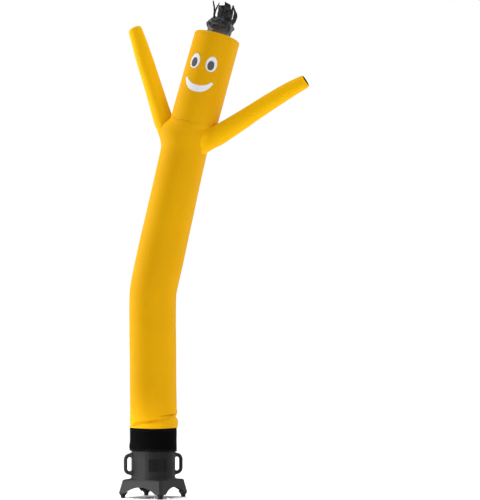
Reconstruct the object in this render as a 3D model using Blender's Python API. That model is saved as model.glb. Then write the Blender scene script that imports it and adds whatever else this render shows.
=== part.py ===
"""Inflatable air dancer on its blower, in metres, +Z up.

The origin lies on the floor below the middle of the whole part. The dancer's pieces are placed from the
blower's axis, and the viewer's side is -Y. Azimuths round a tube run from its front to its right.
"""
import math

import bmesh
import bpy
from mathutils import Euler, Matrix, Vector

MM = 0.001
GAP = 0.3 * MM

# Place of the blower's axis, and the turn of its square base
BLOWER_X = -405 * MM
BLOWER_Y = 25 * MM
BLOWER_TURN = math.radians(16)

# Cloth
CLOTH = 2 * MM
TUBE_SIDES = 28
ARM_SIDES = 18

# Body tube
CUFF_TOP = 466.5 * MM
UPRIGHT_Z = 600 * MM
LOWER_SLOPE = -0.0105
KINK_Z = 1368 * MM
KINK_SOFTNESS = 45 * MM
UPPER_SLOPE = 0.2216
BODY_BOTTOM_R = 155.5 * MM
BODY_BELLY = 3.5 * MM
BELLY_Z = 1600 * MM
BELLY_REACH = 280 * MM
BODY_TOP_R = 155 * MM
SHOULDER_REACH = 125 * MM
SHOULDER_ROUND = 46 * MM
SWELL = 32 * MM
SWELL_REACH = 215 * MM
SWELL_ROUND = 105 * MM

# Slack roll above the cuff, low at the left and high at the right
ROLL_MIDDLE = 43 * MM
ROLL_SLANT = 27 * MM
ROLL_PROUD = 6.5 * MM
ROLL_PROUD_SLANT = 2 * MM
ROLL_CREASE_SHARE = 0.9
ROLL_CREASE_HALF = 11 * MM
RIDGE_SHARE = 0.5
RIDGE_RISE = 30 * MM
RIDGE_HALF = 16 * MM
SLACK_STARTS = 14 * MM

# Neck, where the head is sewn on
NECK_Z = 2514 * MM
NECK_R = 158.5 * MM
NECK_SHIFT = 23.5 * MM
NECK_LEAN = math.radians(11.8)
NECK_NOD = math.radians(8)

# Head tube
HEAD_LENGTH = 587 * MM
HEAD_LEAN = math.radians(15.4)
HEAD_TOP_R = 155 * MM
HEAD_HEM_R = 152.5 * MM
HEAD_STRAIGHTENS = 90 * MM
TOP_NOD = math.radians(-4)
TOP_NOD_REACH = 130 * MM
HEAD_HEM = 14 * MM
CAP_DOME = 13 * MM

# Face patches, on the head's arc and length
FACE_AZIMUTH = math.radians(-14.7)
EYE_ALONG = 384 * MM
EYE_SPREAD = 60 * MM
EYE_SIZE = (77 * MM, 104 * MM)
EYE_NARROWS = 0.06
PUPIL_SIZE = (45 * MM, 64 * MM)
PUPIL_SHIFT = (-2 * MM, -10 * MM)
PATCH_LIFT = 0.5 * MM
PUPIL_LIFT = 1.9 * MM
PATCH_THICK = 1 * MM
SMILE_SHIFT = 2.5 * MM
SMILE_HALF_WIDTH = 105 * MM
SMILE_LOW = 182 * MM
SMILE_TOP = 228 * MM
SMILE_LOW_RISE = 75 * MM
SMILE_TOP_RISE = 60 * MM
SMILE_END = 256 * MM
SMILE_BLUNTS_FROM = 0.84
SMILE_BLUNTNESS = 0.95

# Cuff and collar
CUFF_BOTTOM = 310 * MM
CUFF_TILT = 3 * MM
CUFF_INNER_R = 153.2 * MM
CUFF_THICK = 3 * MM
CUFF_SIDES = 36
CUFF_STEPS = (0, 3, 14, 31, 53, 77, 108)
GATHER_TOP = 395 * MM
GATHER_REACH = 70 * MM
GATHER_DEPTH = 0.9 * MM
BULGE = 3 * MM
BULGE_Z = 338 * MM
BULGE_HALF_HEIGHT = 18 * MM
BULGE_HALF_ANGLE = 0.3
BEAD_R = 152.5 * MM
BEAD_HEIGHTS = (322 * MM, 365 * MM)
BEAD_HALF = 5.5 * MM
GROOVE_R = 147 * MM

# Blower housing
DRUM_R = 146.5 * MM
DRUM_BORE_R = 140.5 * MM
DRUM_TOP = 385 * MM
DECK_Z = 123 * MM
BASE_BOTTOM = 30 * MM
BASE_TOP_HALF = 150 * MM
BASE_BOTTOM_HALF = 173 * MM
CORNER_HALF_ANGLE = math.radians(3.4)
SIDE_STEPS = 8
CORNER_PAD_REACH = 178 * MM
ARCH_WIDTH = 240 * MM
ARCH_TOP = 74 * MM
ARCH_STEPS = 10
NOTCH_COUNT = 6
NOTCH_WIDTH = 17.5 * MM
NOTCH_DEPTH = 9 * MM
NOTCH_FIRST = math.radians(-108)

# Handles, feet, label and screws
HANDLE_REACH = 202 * MM
HANDLE_R = 12.5 * MM
HANDLE_LOW = 152 * MM
HANDLE_HIGH = 295 * MM
HANDLE_CORNER = 29 * MM
HANDLE_ROOT_R = 19 * MM
FOOT_RADIUS = 206 * MM
LABEL_CENTRE = math.radians(-90.8)
LABEL_HALF_ANGLE = math.radians(25.4)
LABEL_LOW = 178 * MM
LABEL_HIGH = 262 * MM
SCREW_HEIGHTS = (203 * MM, 224 * MM)
SCREW_FIRST = math.radians(-137)

# Short creases of slack cloth above the cuff: one row each, azimuth and slope in degrees, the rest in mm
CREASES = (
    {"azimuth": -42, "height": 492, "slope": 16, "half_length": 62, "half_width": 9, "depth": 4.5},
    {"azimuth": -12, "height": 513, "slope": -14, "half_length": 48, "half_width": 9, "depth": 3.5},
    {"azimuth": 48, "height": 540, "slope": 22, "half_length": 70, "half_width": 10, "depth": 4.0},
    {"azimuth": 150, "height": 505, "slope": -12, "half_length": 70, "half_width": 10, "depth": 4.0},
    {"azimuth": -150, "height": 530, "slope": 10, "half_length": 60, "half_width": 10, "depth": 3.5},
)

# Arms: root centre on the body and tip centre, from the blower's axis, in mm
ARMS = {
    "arm_right": {"root": (361, -49, 2373), "tip": (1014, -269, 2751), "root_r": 68, "tip_r": 44.5, "bow": 9},
    "arm_left": {"root": (87, 49, 2452), "tip": (-141, 215, 3173), "root_r": 66, "tip_r": 48.5, "bow": 0},
}
ARM_STEPS = (-0.17, 0.0, 0.06, 0.14, 0.28, 0.46, 0.64, 0.82, 0.95, 1.0)
ARM_BELLY = 3 * MM
ARM_ROOT_PINCH = 8 * MM
ARM_TIP_TUCK = 2.5 * MM
ARM_RIPPLE = 1.2 * MM

# Hair strips, from the cap's centre in the head's own frame, in mm: root, tip, and widths
HAIR_STRIPS = (
    {"root": (-52, -20), "tip": (-92, -26, 202), "bend": (6, -2), "width": 16, "tip_width": 8, "face": -25},
    {"root": (-54, -34), "tip": (-48, -34, 197), "bend": (-8, 0), "width": 14, "tip_width": 6, "face": -15},
    {"root": (-10, -50), "tip": (-28, -50, 182), "bend": (2, -6), "width": 48, "tip_width": 40, "face": -6},
    {"root": (26, -48), "tip": (8, -46, 217), "bend": (6, -6), "width": 56, "tip_width": 44, "face": 12},
    {"root": (48, -38), "tip": (47, -28, 207), "bend": (4, 0), "width": 24, "tip_width": 10, "face": 20},
    {"root": (64, -26), "tip": (50, -16, 200), "bend": (24, 0), "width": 36, "tip_width": 10, "face": 30},
    {"root": (34, 40), "tip": (10, 64, 190), "bend": (4, 8), "width": 36, "tip_width": 26, "face": 155},
    {"root": (-4, 50), "tip": (-24, 70, 158), "bend": (-2, 8), "width": 36, "tip_width": 20, "face": 184},
    {"root": (-38, 38), "tip": (-56, 54, 122), "bend": (-6, 6), "width": 32, "tip_width": 18, "face": 215},
    {"root": (58, 18), "tip": (74, 28, 124), "bend": (6, 4), "width": 28, "tip_width": 16, "face": 120},
    {"root": (-14, -4), "tip": (-24, 6, 160), "bend": (0, 4), "width": 44, "tip_width": 30, "face": 5},
    {"root": (26, 4), "tip": (18, 10, 196), "bend": (4, 2), "width": 48, "tip_width": 30, "face": -8},
)
HAIR_ROOT_ROWS = (
    {"height": 0, "radius": 77, "pleat": 2},
    {"height": 22, "radius": 81, "pleat": 3},
    {"height": 45, "radius": 93, "pleat": 5},
    {"height": 68, "radius": 88, "pleat": 6},
    {"height": 90, "radius": 64, "pleat": 5},
)
HAIR_PLEATS = 9
HAIR_STRIP_SUNK = 12
HAIR_STRIP_HALF_THICK = 1.5


def clear_scene():
    for old in list(bpy.data.objects):
        bpy.data.objects.remove(old, do_unlink=True)


def finish(name, colour, roughness, metallic=0.0):
    """A plain painted, sewn or moulded surface."""
    made = bpy.data.materials.new(name)
    made.use_nodes = True
    shader = made.node_tree.nodes["Principled BSDF"]
    shader.inputs["Base Color"].default_value = (*colour, 1.0)
    shader.inputs["Roughness"].default_value = roughness
    shader.inputs["Metallic"].default_value = metallic
    made.diffuse_color = (*colour, 1.0)
    return made


def frame_empty(name, turn):
    """An empty on the blower's axis, which carries the pieces placed from it."""
    empty = bpy.data.objects.new(name, None)
    empty.location = (BLOWER_X, BLOWER_Y, 0)
    empty.rotation_euler = (0, 0, turn)
    bpy.context.collection.objects.link(empty)
    return empty


def add_solid(name, points, faces, surface, parent):
    """A closed mesh object with its faces turned outwards."""
    mesh = bpy.data.meshes.new(name)
    mesh.from_pydata([tuple(p) for p in points], [], faces)
    work = bmesh.new()
    work.from_mesh(mesh)
    bmesh.ops.recalc_face_normals(work, faces=work.faces)
    work.to_mesh(mesh)
    work.free()
    mesh.shade_smooth()
    mesh.set_sharp_from_angle(angle=math.radians(40))
    if surface:
        mesh.materials.append(surface)
    made = bpy.data.objects.new(name, mesh)
    made.parent = parent
    bpy.context.collection.objects.link(made)
    return made


def ring_faces(ring_count, sides, closed):
    """Quads between each ring and the next, and from the last to the first where the shell is closed."""
    faces = []
    for i in range(ring_count if closed else ring_count - 1):
        low = i * sides
        high = (i + 1) % ring_count * sides
        for j in range(sides):
            k = (j + 1) % sides
            faces.append((low + j, low + k, high + k, high + j))
    return faces


def shell(name, rings, surface, parent):
    """A wall whose rings run up its outside and back down its inside."""
    points = [p for ring in rings for p in ring]
    faces = ring_faces(len(rings), len(rings[0]), closed=True)
    return add_solid(name, points, faces, surface, parent)


def loft(name, rings, surface, parent):
    """A solid through its rings, with both ends filled."""
    sides = len(rings[0])
    points = [p for ring in rings for p in ring]
    faces = ring_faces(len(rings), sides, closed=False)
    last = len(points) - sides
    faces.append(tuple(range(sides)))
    faces.append(tuple(range(last, last + sides)))
    return add_solid(name, points, faces, surface, parent)


def pointed_disc(name, under, over, surface, parent):
    """A thin disc from its inner rings outwards: each side is a list of rings whose first is one point."""
    sides = len(under[-1])
    points = []
    faces = []
    for rows in (under, over):
        centre = len(points)
        points.append(rows[0][0])
        for row in rows[1:]:
            points.extend(row)
        first = centre + 1
        for j in range(sides):
            faces.append((centre, first + j, first + (j + 1) % sides))
        for face in ring_faces(len(rows) - 1, sides, closed=False):
            faces.append(tuple(first + i for i in face))
    side_points = 1 + sides * (len(under) - 1)
    low = side_points - sides
    high = 2 * side_points - sides
    for j in range(sides):
        k = (j + 1) % sides
        faces.append((low + j, low + k, high + k, high + j))
    return add_solid(name, points, faces, surface, parent)


def as_cutter(made):
    made.hide_render = True
    made.display_type = "WIRE"
    return made


def combine(target, other, operation):
    step = target.modifiers.new(other.name, "BOOLEAN")
    step.operation = operation
    step.solver = "EXACT"
    step.object = other


def soft_step(t):
    t = min(max(t, 0.0), 1.0)
    return t * t * (3 - 2 * t)


def blend(a, b, t):
    return a + (b - a) * t


def turned_by(lean, nod):
    """The turn of a section that leans to the right and nods to the viewer."""
    return Euler((nod, lean, 0), "XYZ").to_matrix()


def on_section(centre, turn, radius, azimuth):
    """A point on a round section, at an azimuth from its front to its right."""
    return centre + turn @ Vector((radius * math.sin(azimuth), -radius * math.cos(azimuth), 0))


def azimuths(sides):
    return [2 * math.pi * j / sides for j in range(sides)]


def body_section(height):
    """Centre, turn and plain radius of the body's section whose middle is at this height."""
    above = height - KINK_Z
    bend = math.hypot(above, KINK_SOFTNESS)
    turn = UPPER_SLOPE - LOWER_SLOPE
    into_neck = soft_step((height - NECK_Z + SHOULDER_ROUND) / SHOULDER_ROUND)
    into_shoulder = soft_step((height - NECK_Z + SHOULDER_REACH) / SHOULDER_REACH)
    off_cuff = soft_step((height - CUFF_TOP) / (UPRIGHT_Z - CUFF_TOP))
    lean = off_cuff * math.atan(LOWER_SLOPE + turn * (1 + above / bend) / 2)
    lean = blend(lean, NECK_LEAN, into_shoulder)
    across = LOWER_SLOPE * (height - UPRIGHT_Z) + turn * (above + bend) / 2
    centre = Vector((across + NECK_SHIFT * into_neck, 0, height))
    radius = blend(BODY_BOTTOM_R, BODY_TOP_R, (height - CUFF_TOP) / (NECK_Z - CUFF_TOP))
    radius += BODY_BELLY * math.exp(-(((height - BELLY_Z) / BELLY_REACH) ** 2))
    radius = blend(radius, NECK_R, into_neck)
    return centre, turned_by(lean, NECK_NOD * into_shoulder), radius


def roll_height(azimuth):
    """Height of the slack roll's upper crease above the cuff, low at the left and high at the right."""
    return ROLL_MIDDLE + ROLL_SLANT * math.sin(azimuth)


def slack(height, azimuth, radius):
    """How far the cloth stands proud of the plain tube, or sinks into it, in the slack above the cuff."""
    top = roll_height(azimuth)
    above = height - CUFF_TOP
    size = ROLL_PROUD + ROLL_PROUD_SLANT * math.sin(azimuth)
    proud = 0.0
    if 0 < above < top:
        proud += size * math.sin(math.pi * above / top)
    proud -= size * ROLL_CREASE_SHARE * math.exp(-(((above - top) / ROLL_CREASE_HALF) ** 2))
    proud += size * RIDGE_SHARE * math.exp(-(((above - top - RIDGE_RISE) / RIDGE_HALF) ** 2))
    for crease in CREASES:
        across = (azimuth - math.radians(crease["azimuth"]) + math.pi) % (2 * math.pi) - math.pi
        along = across * radius
        rise = height - crease["height"] * MM - along * math.tan(math.radians(crease["slope"]))
        fade = math.exp(-((along / (crease["half_length"] * MM)) ** 2))
        proud -= crease["depth"] * MM * fade * math.exp(-((rise / (crease["half_width"] * MM)) ** 2))
    return proud * soft_step(above / SLACK_STARTS)


def shoulder_swell(height, azimuth):
    """The body swells at its left just below the neck, where no arm takes up the cloth."""
    below = NECK_Z - height
    grows = soft_step((SWELL_REACH - below) / (SWELL_REACH - SWELL_ROUND))
    return SWELL * grows * soft_step(below / SWELL_ROUND) * (0.5 - 0.5 * math.sin(azimuth))


def body_point(height, azimuth, offset):
    centre, turn, radius = body_section(height)
    proud = slack(height, azimuth, radius) + shoulder_swell(height, azimuth)
    return on_section(centre, turn, radius + proud + offset, azimuth)


def body_heights():
    """Close rows where the cloth folds, bends and rounds, and wide ones between."""
    heights = [CUFF_TOP + GAP]
    heights += [CUFF_TOP + step * MM for step in (9, 20, 32, 44, 56, 68, 80, 93, 108, 128, 165)]
    heights += [CUFF_TOP + 450 * MM, KINK_Z - 110 * MM]
    heights += [KINK_Z + step * MM for step in (-45, 0, 45, 110)]
    heights += [BELLY_Z, BELLY_Z + 180 * MM, BELLY_Z + 420 * MM, NECK_Z - 310 * MM]
    heights += [NECK_Z - step * MM for step in (215, 160, 120, 88, 62, 40, 22, 9, 0)]
    return heights


def head_section(along):
    """Centre, turn and radius of the head's section at this length above the neck."""
    straight = soft_step(along / HEAD_STRAIGHTENS)
    neck = body_section(NECK_Z)[0]
    axis = turned_by(HEAD_LEAN, 0) @ Vector((0, 0, 1))
    at_top = soft_step((along - HEAD_LENGTH + TOP_NOD_REACH) / TOP_NOD_REACH)
    nod = NECK_NOD * (1 - straight) + TOP_NOD * at_top
    turn = turned_by(blend(NECK_LEAN, HEAD_LEAN, straight), nod)
    radius = blend(NECK_R, HEAD_TOP_R, along / HEAD_LENGTH)
    hem = soft_step((along - HEAD_LENGTH + HEAD_HEM) / HEAD_HEM)
    return neck + axis * along, turn, blend(radius, HEAD_HEM_R, hem)


def head_point(along, azimuth, offset):
    centre, turn, radius = head_section(along)
    return on_section(centre, turn, radius + offset, azimuth)


def head_steps():
    steps = [GAP] + [step * MM for step in (24, 60, 100, 250, 400)]
    return steps + [HEAD_LENGTH - 40 * MM, HEAD_LENGTH - HEAD_HEM, HEAD_LENGTH - 5 * MM, HEAD_LENGTH]


def tube_rows(point, steps, offset, sides):
    return [[point(step, a, offset) for a in azimuths(sides)] for step in steps]


def tube_shell(name, point, steps, sides, surface, parent):
    outer = tube_rows(point, steps, 0, sides)
    inner = tube_rows(point, steps, -CLOTH, sides)
    return shell(name, outer + inner[::-1], surface, parent)


def arm_line(arm, t):
    """Centre of an arm at a share of its length, with its slight bow."""
    root = Vector(arm["root"]) * MM
    tip = Vector(arm["tip"]) * MM
    return root.lerp(tip, t) + Vector((0, 0, arm["bow"] * MM * math.sin(math.pi * t * abs(t))))


def arm_point(arm):
    """A function that gives the points of an arm, from its share of length, azimuth and offset."""
    along = (Vector(arm["tip"]) - Vector(arm["root"])).normalized()
    turn = along.to_track_quat("Z", "Y").to_matrix()

    def point(t, azimuth, offset):
        radius = blend(arm["root_r"], arm["tip_r"], t) * MM
        radius += ARM_BELLY * math.sin(math.pi * min(max(t, 0.0), 1.0))
        radius += ARM_RIPPLE * math.sin(9 * t + 2 * azimuth)
        radius -= ARM_ROOT_PINCH * (1 - soft_step(t / 0.12)) + ARM_TIP_TUCK * soft_step((t - 0.97) / 0.03)
        return on_section(arm_line(arm, t), turn, radius + offset, azimuth)

    return point


def dancer_fill(parent):
    """The space that body and head take up, a hair wider, which trims the arms' roots."""
    rows = tube_rows(body_point, body_heights(), GAP, TUBE_SIDES)
    rows += tube_rows(head_point, head_steps()[1:], GAP, TUBE_SIDES)
    return as_cutter(loft("dancer_space", rows, None, parent))


def make_tubes(cloth, parent):
    body = tube_shell("body_tube", body_point, body_heights(), TUBE_SIDES, cloth, parent)
    tube_shell("head_tube", head_point, head_steps(), TUBE_SIDES, cloth, parent)
    space = dancer_fill(parent)
    for name, arm in ARMS.items():
        point = arm_point(arm)
        made = tube_shell(name, point, ARM_STEPS, ARM_SIDES, cloth, parent)
        combine(made, space, "DIFFERENCE")
        bore_rows = tube_rows(point, ARM_STEPS[:5], -CLOTH, ARM_SIDES)
        bore = as_cutter(loft(name + "_bore", bore_rows, None, parent))
        combine(body, bore, "DIFFERENCE")


def cap_height(share):
    """Height of the cap's top over its rim, at a share of its radius."""
    return CLOTH + CAP_DOME * (1 - share * share)


def make_cap(cloth, parent):
    centre, turn, radius = head_section(HEAD_LENGTH)
    up = turn @ Vector((0, 0, 1))
    sides = {}
    for side, drop in (("under", CLOTH), ("over", 0)):
        rows = []
        for share in (0.0, 0.35, 0.7, 1.0):
            lift = up * (GAP + cap_height(share) - drop)
            turns = azimuths(TUBE_SIDES) if share else [0]
            rows.append([on_section(centre + lift, turn, radius * share, a) for a in turns])
        sides[side] = rows
    pointed_disc("head_cap", sides["under"], sides["over"], cloth, parent)


def on_head(across, along, offset):
    """A point of a patch: its arc from the middle of the face, its length above the neck, its lift."""
    return head_point(along, FACE_AZIMUTH + across / head_section(along)[2], offset)


def make_round_patch(name, place, size, narrow, lift, rows, count, surface, parent):
    """An egg-shaped patch, narrower at its top, in concentric rows."""
    sides = {}
    for side, offset in (("under", lift), ("over", lift + PATCH_THICK)):
        rings = [[on_head(*place, offset)]]
        for row in range(1, rows + 1):
            share = row / rows
            ring = []
            for a in azimuths(count):
                rise = math.cos(a) * size[1] / 2 * share
                waist = 1 - narrow * math.cos(a)
                across = math.sin(a) * waist * size[0] / 2 * share
                ring.append(on_head(place[0] + across, place[1] + rise, offset))
            rings.append(ring)
        sides[side] = rings
    pointed_disc(name, sides["under"], sides["over"], surface, parent)


def mouth_edges(share):
    """Lower and upper edge of the smile, at a share of its half width."""
    low = SMILE_LOW + SMILE_LOW_RISE * abs(share) ** 2.6
    high = SMILE_TOP + SMILE_TOP_RISE * min(abs(share), SMILE_BLUNTS_FROM) ** 2.4
    end = max((abs(share) - SMILE_BLUNTS_FROM) / (1 - SMILE_BLUNTS_FROM), 0.0)
    full = math.sqrt(1 - (SMILE_BLUNTNESS * end) ** 2)
    return blend(SMILE_END, low, full), blend(SMILE_END, high, full)


def make_mouth(surface, parent):
    columns = 20
    rows = 3
    points = []
    for offset in (PATCH_LIFT, PATCH_LIFT + PATCH_THICK):
        for i in range(columns + 1):
            share = math.sin(math.pi * (i / columns - 0.5))
            low, high = mouth_edges(share)
            for j in range(rows):
                across = SMILE_SHIFT + share * SMILE_HALF_WIDTH
                points.append(on_head(across, blend(low, high, j / (rows - 1)), offset))
    side = (columns + 1) * rows
    faces = []
    for i in range(columns):
        for j in range(rows - 1):
            a = i * rows + j
            faces.append((a, a + 1, a + rows + 1, a + rows))
            faces.append((side + a, side + a + rows, side + a + rows + 1, side + a + 1))
        for j in (0, rows - 1):
            a = i * rows + j
            faces.append((a, a + rows, side + a + rows, side + a))
    for i in (0, columns):
        for j in range(rows - 1):
            a = i * rows + j
            faces.append((a, a + 1, side + a + 1, side + a))
    add_solid("mouth", points, faces, surface, parent)


def make_face(white, dark, parent):
    for name, side in (("left", -1), ("right", 1)):
        place = (side * EYE_SPREAD, EYE_ALONG)
        make_round_patch("eye_" + name, place, EYE_SIZE, EYE_NARROWS, PATCH_LIFT, 3, 16, white, parent)
        place = (side * EYE_SPREAD + PUPIL_SHIFT[0], EYE_ALONG + PUPIL_SHIFT[1])
        make_round_patch("pupil_" + name, place, PUPIL_SIZE, 0.0, PUPIL_LIFT, 2, 12, dark, parent)
    make_mouth(white, parent)


def hair_root_rows(centre, turn):
    up = turn @ Vector((0, 0, 1))
    rows = []
    for row in HAIR_ROOT_ROWS:
        ring = []
        for a in azimuths(HAIR_PLEATS * 4):
            radius = row["radius"] + row["pleat"] * math.sin(HAIR_PLEATS * a)
            ring.append(on_section(centre + up * row["height"] * MM, turn, radius * MM, a))
        rows.append(ring)
    return rows


def strip_rows(strip, centre, turn):
    """Sections of one hair strip, from inside the gathered root to its tip."""
    floor = HAIR_ROOT_ROWS[-1]["height"] - HAIR_STRIP_SUNK
    root = Vector((*strip["root"], floor))
    tip = Vector(strip["tip"])
    bend = Vector((*strip["bend"], 0))
    face = math.radians(strip["face"])
    facing = Vector((math.cos(face), math.sin(face), 0))
    outward = Vector((math.sin(face), -math.cos(face), 0))
    rows = []
    for t in (0.0, 0.25, 0.5, 0.75, 1.0):
        middle = root.lerp(tip, t) + bend * math.sin(math.pi * t)
        half = facing * blend(strip["width"], strip["tip_width"], t * t) / 2
        thin = outward * HAIR_STRIP_HALF_THICK
        corners = (middle - half - thin, middle + half - thin, middle + half + thin, middle - half + thin)
        rows.append([centre + turn @ (corner * MM) for corner in corners])
    return rows


def make_hair(surface, parent):
    """A pleated bunch with its strips standing from it, all fused into one piece."""
    rim, turn, _ = head_section(HEAD_LENGTH)
    up = turn @ Vector((0, 0, 1))
    centre = rim + up * (GAP + cap_height(0) + GAP)
    hair = loft("hair", hair_root_rows(centre, turn), surface, parent)
    for number, strip in enumerate(HAIR_STRIPS, 1):
        cutter = loft(f"hair_strip_{number}", strip_rows(strip, centre, turn), surface, parent)
        combine(hair, as_cutter(cutter), "UNION")


def make_cuff(surface, parent):
    """The black band over the collar, gathered below and smooth where it meets the body."""
    heights = [CUFF_BOTTOM + step * MM for step in CUFF_STEPS] + [CUFF_TOP]

    def point(height, azimuth, offset):
        low = soft_step((GATHER_TOP - height) / GATHER_REACH)
        gather = GATHER_DEPTH * low * (1 + math.sin(9 * azimuth + 0.6) * math.cos(2 * azimuth))
        left = (azimuth + math.pi / 2 + math.pi) % (2 * math.pi) - math.pi
        rise = (height - BULGE_Z) / BULGE_HALF_HEIGHT
        bulge = BULGE * math.exp(-((left / BULGE_HALF_ANGLE) ** 2) - rise**2)
        radius = CUFF_INNER_R + gather + bulge + offset
        drop = CUFF_TILT * math.sin(azimuth) * (CUFF_TOP - height) / (CUFF_TOP - CUFF_BOTTOM)
        return Vector((radius * math.sin(azimuth), -radius * math.cos(azimuth), height - drop))

    outer = tube_rows(point, heights, CUFF_THICK, CUFF_SIDES)
    outer[0] = [point(heights[0], a, CUFF_THICK * 0.6) for a in azimuths(CUFF_SIDES)]
    inner = tube_rows(point, heights, 0, CUFF_SIDES)
    shell("cuff", outer + inner[::-1], surface, parent)


def base_angles():
    """Angles round the base, with two at each corner so that it has a narrow flat there."""
    step = (math.pi / 2 - 2 * CORNER_HALF_ANGLE) / SIDE_STEPS
    angles = []
    for corner in range(4):
        start = corner * math.pi / 2 + CORNER_HALF_ANGLE
        angles += [start + i * step for i in range(SIDE_STEPS + 1)]
    return angles


def from_corner(angle):
    """Angle from the nearest corner of the base."""
    return (angle + math.pi / 4) % (math.pi / 2) - math.pi / 4


def square_radius(half_side, angle):
    """Distance from the axis to the side of a square whose corners are cut flat."""
    off = max(abs(from_corner(angle)), CORNER_HALF_ANGLE)
    return half_side / math.cos(math.pi / 4 - off)


def base_ring(height, round_r=None, half_side=None, pad_reach=None):
    """A ring that keeps inside a circle, a square and a line across each corner, where they are given."""
    ring = []
    for angle in base_angles():
        limits = []
        if round_r:
            limits.append(round_r)
        if half_side:
            limits.append(square_radius(half_side, angle))
        if pad_reach:
            limits.append(pad_reach / math.cos(from_corner(angle)))
        radius = min(limits)
        ring.append(Vector((radius * math.cos(angle), radius * math.sin(angle), height)))
    return ring


def bead_rings(middle):
    """A rounded bead round the collar, from its top to its bottom."""
    rows = ((BEAD_HALF, GROOVE_R), (BEAD_HALF * 0.6, BEAD_R - 1.2 * MM), (0, BEAD_R))
    rows += ((-BEAD_HALF * 0.6, BEAD_R - 1.2 * MM), (-BEAD_HALF, GROOVE_R))
    return [base_ring(middle + rise, radius) for rise, radius in rows]


def housing_rings():
    """Down the outside from the rim to the skirt's edge, and up the inside."""
    rings = [base_ring(DRUM_TOP, DRUM_R - 1 * MM), base_ring(DRUM_TOP - 1.5 * MM, GROOVE_R)]
    rings += bead_rings(BEAD_HEIGHTS[1]) + bead_rings(BEAD_HEIGHTS[0])
    rings.append(base_ring(BEAD_HEIGHTS[0] - 9 * MM, DRUM_R))
    rings.append(base_ring(DECK_Z + 17 * MM, DRUM_R))
    rings.append(base_ring(DECK_Z + 7 * MM, DRUM_R + 2.5 * MM, BASE_TOP_HALF - 1 * MM))
    rings.append(base_ring(DECK_Z + 2 * MM, DRUM_R + 10 * MM, BASE_TOP_HALF))
    rings.append(base_ring(DECK_Z, DRUM_R + 30 * MM, BASE_TOP_HALF + 0.5 * MM))
    rings.append(base_ring(DECK_Z - 2 * MM, half_side=BASE_TOP_HALF + 1 * MM))
    rings.append(base_ring(DECK_Z - 7 * MM, half_side=BASE_TOP_HALF + 5 * MM))
    rings.append(base_ring(BASE_BOTTOM + 4 * MM, half_side=BASE_BOTTOM_HALF))
    rings.append(base_ring(BASE_BOTTOM, half_side=BASE_BOTTOM_HALF - 1 * MM))
    inner_half = BASE_BOTTOM_HALF - 7 * MM
    rings.append(base_ring(BASE_BOTTOM, half_side=inner_half, pad_reach=CORNER_PAD_REACH))
    rings.append(base_ring(BASE_BOTTOM + 9 * MM, half_side=inner_half - 2 * MM, pad_reach=CORNER_PAD_REACH))
    rings.append(base_ring(BASE_BOTTOM + 12 * MM, half_side=inner_half - 3 * MM))
    rings.append(base_ring(DECK_Z - 14 * MM, half_side=BASE_TOP_HALF - 4 * MM))
    rings.append(base_ring(DECK_Z - 6 * MM, DRUM_BORE_R))
    rings.append(base_ring(DRUM_TOP, DRUM_BORE_R))
    return rings


def box_points(centre, angle, length, width, height):
    """Eight corners of a box whose length points away from the axis."""
    turn = Matrix.Rotation(angle, 3, "Z")
    signs = ((-1, -1), (1, -1), (1, 1), (-1, 1))
    points = []
    for z in (-0.5, 0.5):
        for x, y in signs:
            points.append(centre + turn @ Vector((x * length / 2, y * width / 2, z * height)))
    return points


def make_notch_cutter(parent):
    points = []
    faces = []
    for number in range(NOTCH_COUNT):
        angle = NOTCH_FIRST + number * 2 * math.pi / NOTCH_COUNT
        middle = Vector((DRUM_R * math.cos(angle), DRUM_R * math.sin(angle), DRUM_TOP))
        first = len(points)
        points += box_points(middle, angle, 30 * MM, NOTCH_WIDTH, NOTCH_DEPTH * 2)
        faces += [tuple(first + i for i in (0, 1, 2, 3)), tuple(first + i for i in (4, 5, 6, 7))]
        faces += [tuple(first + i for i in face) for face in ring_faces(2, 4, closed=False)]
    return as_cutter(add_solid("rim_notches", points, faces, None, parent))


def make_arch_cutter(name, angle, parent):
    """A tunnel right through the base, its top a shallow arc."""
    half = ARCH_WIDTH / 2
    rise = ARCH_TOP - BASE_BOTTOM
    radius = (half * half + rise * rise) / (2 * rise)
    sweep = math.asin(half / radius)
    outline = [(-half, BASE_BOTTOM - 10 * MM)]
    for step in range(ARCH_STEPS + 1):
        a = sweep * (2 * step / ARCH_STEPS - 1)
        outline.append((radius * math.sin(a), ARCH_TOP - radius * (1 - math.cos(a))))
    outline.append((half, BASE_BOTTOM - 10 * MM))
    turn = Matrix.Rotation(angle, 3, "Z")
    rings = []
    for end in (-1, 1):
        rings.append([turn @ Vector((end * 250 * MM, across, height)) for across, height in outline])
    return as_cutter(loft(name, rings, None, parent))


def make_housing(surface, parent):
    housing = shell("housing", housing_rings(), surface, parent)
    combine(housing, make_notch_cutter(parent), "DIFFERENCE")
    for name, angle in (("arch_one", math.pi / 4), ("arch_two", -math.pi / 4)):
        combine(housing, make_arch_cutter(name, angle, parent), "DIFFERENCE")


def make_band(surface, parent):
    low = BEAD_HEIGHTS[0] + BEAD_HALF + 1.2 * MM
    high = BEAD_HEIGHTS[1] - BEAD_HALF - 1.2 * MM
    outer = GROOVE_R + 2.4 * MM
    inner = GROOVE_R + GAP
    rows = ((low, outer), (high, outer), (high, inner), (low, inner))
    shell("collar_band", [base_ring(height, radius) for height, radius in rows], surface, parent)


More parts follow.
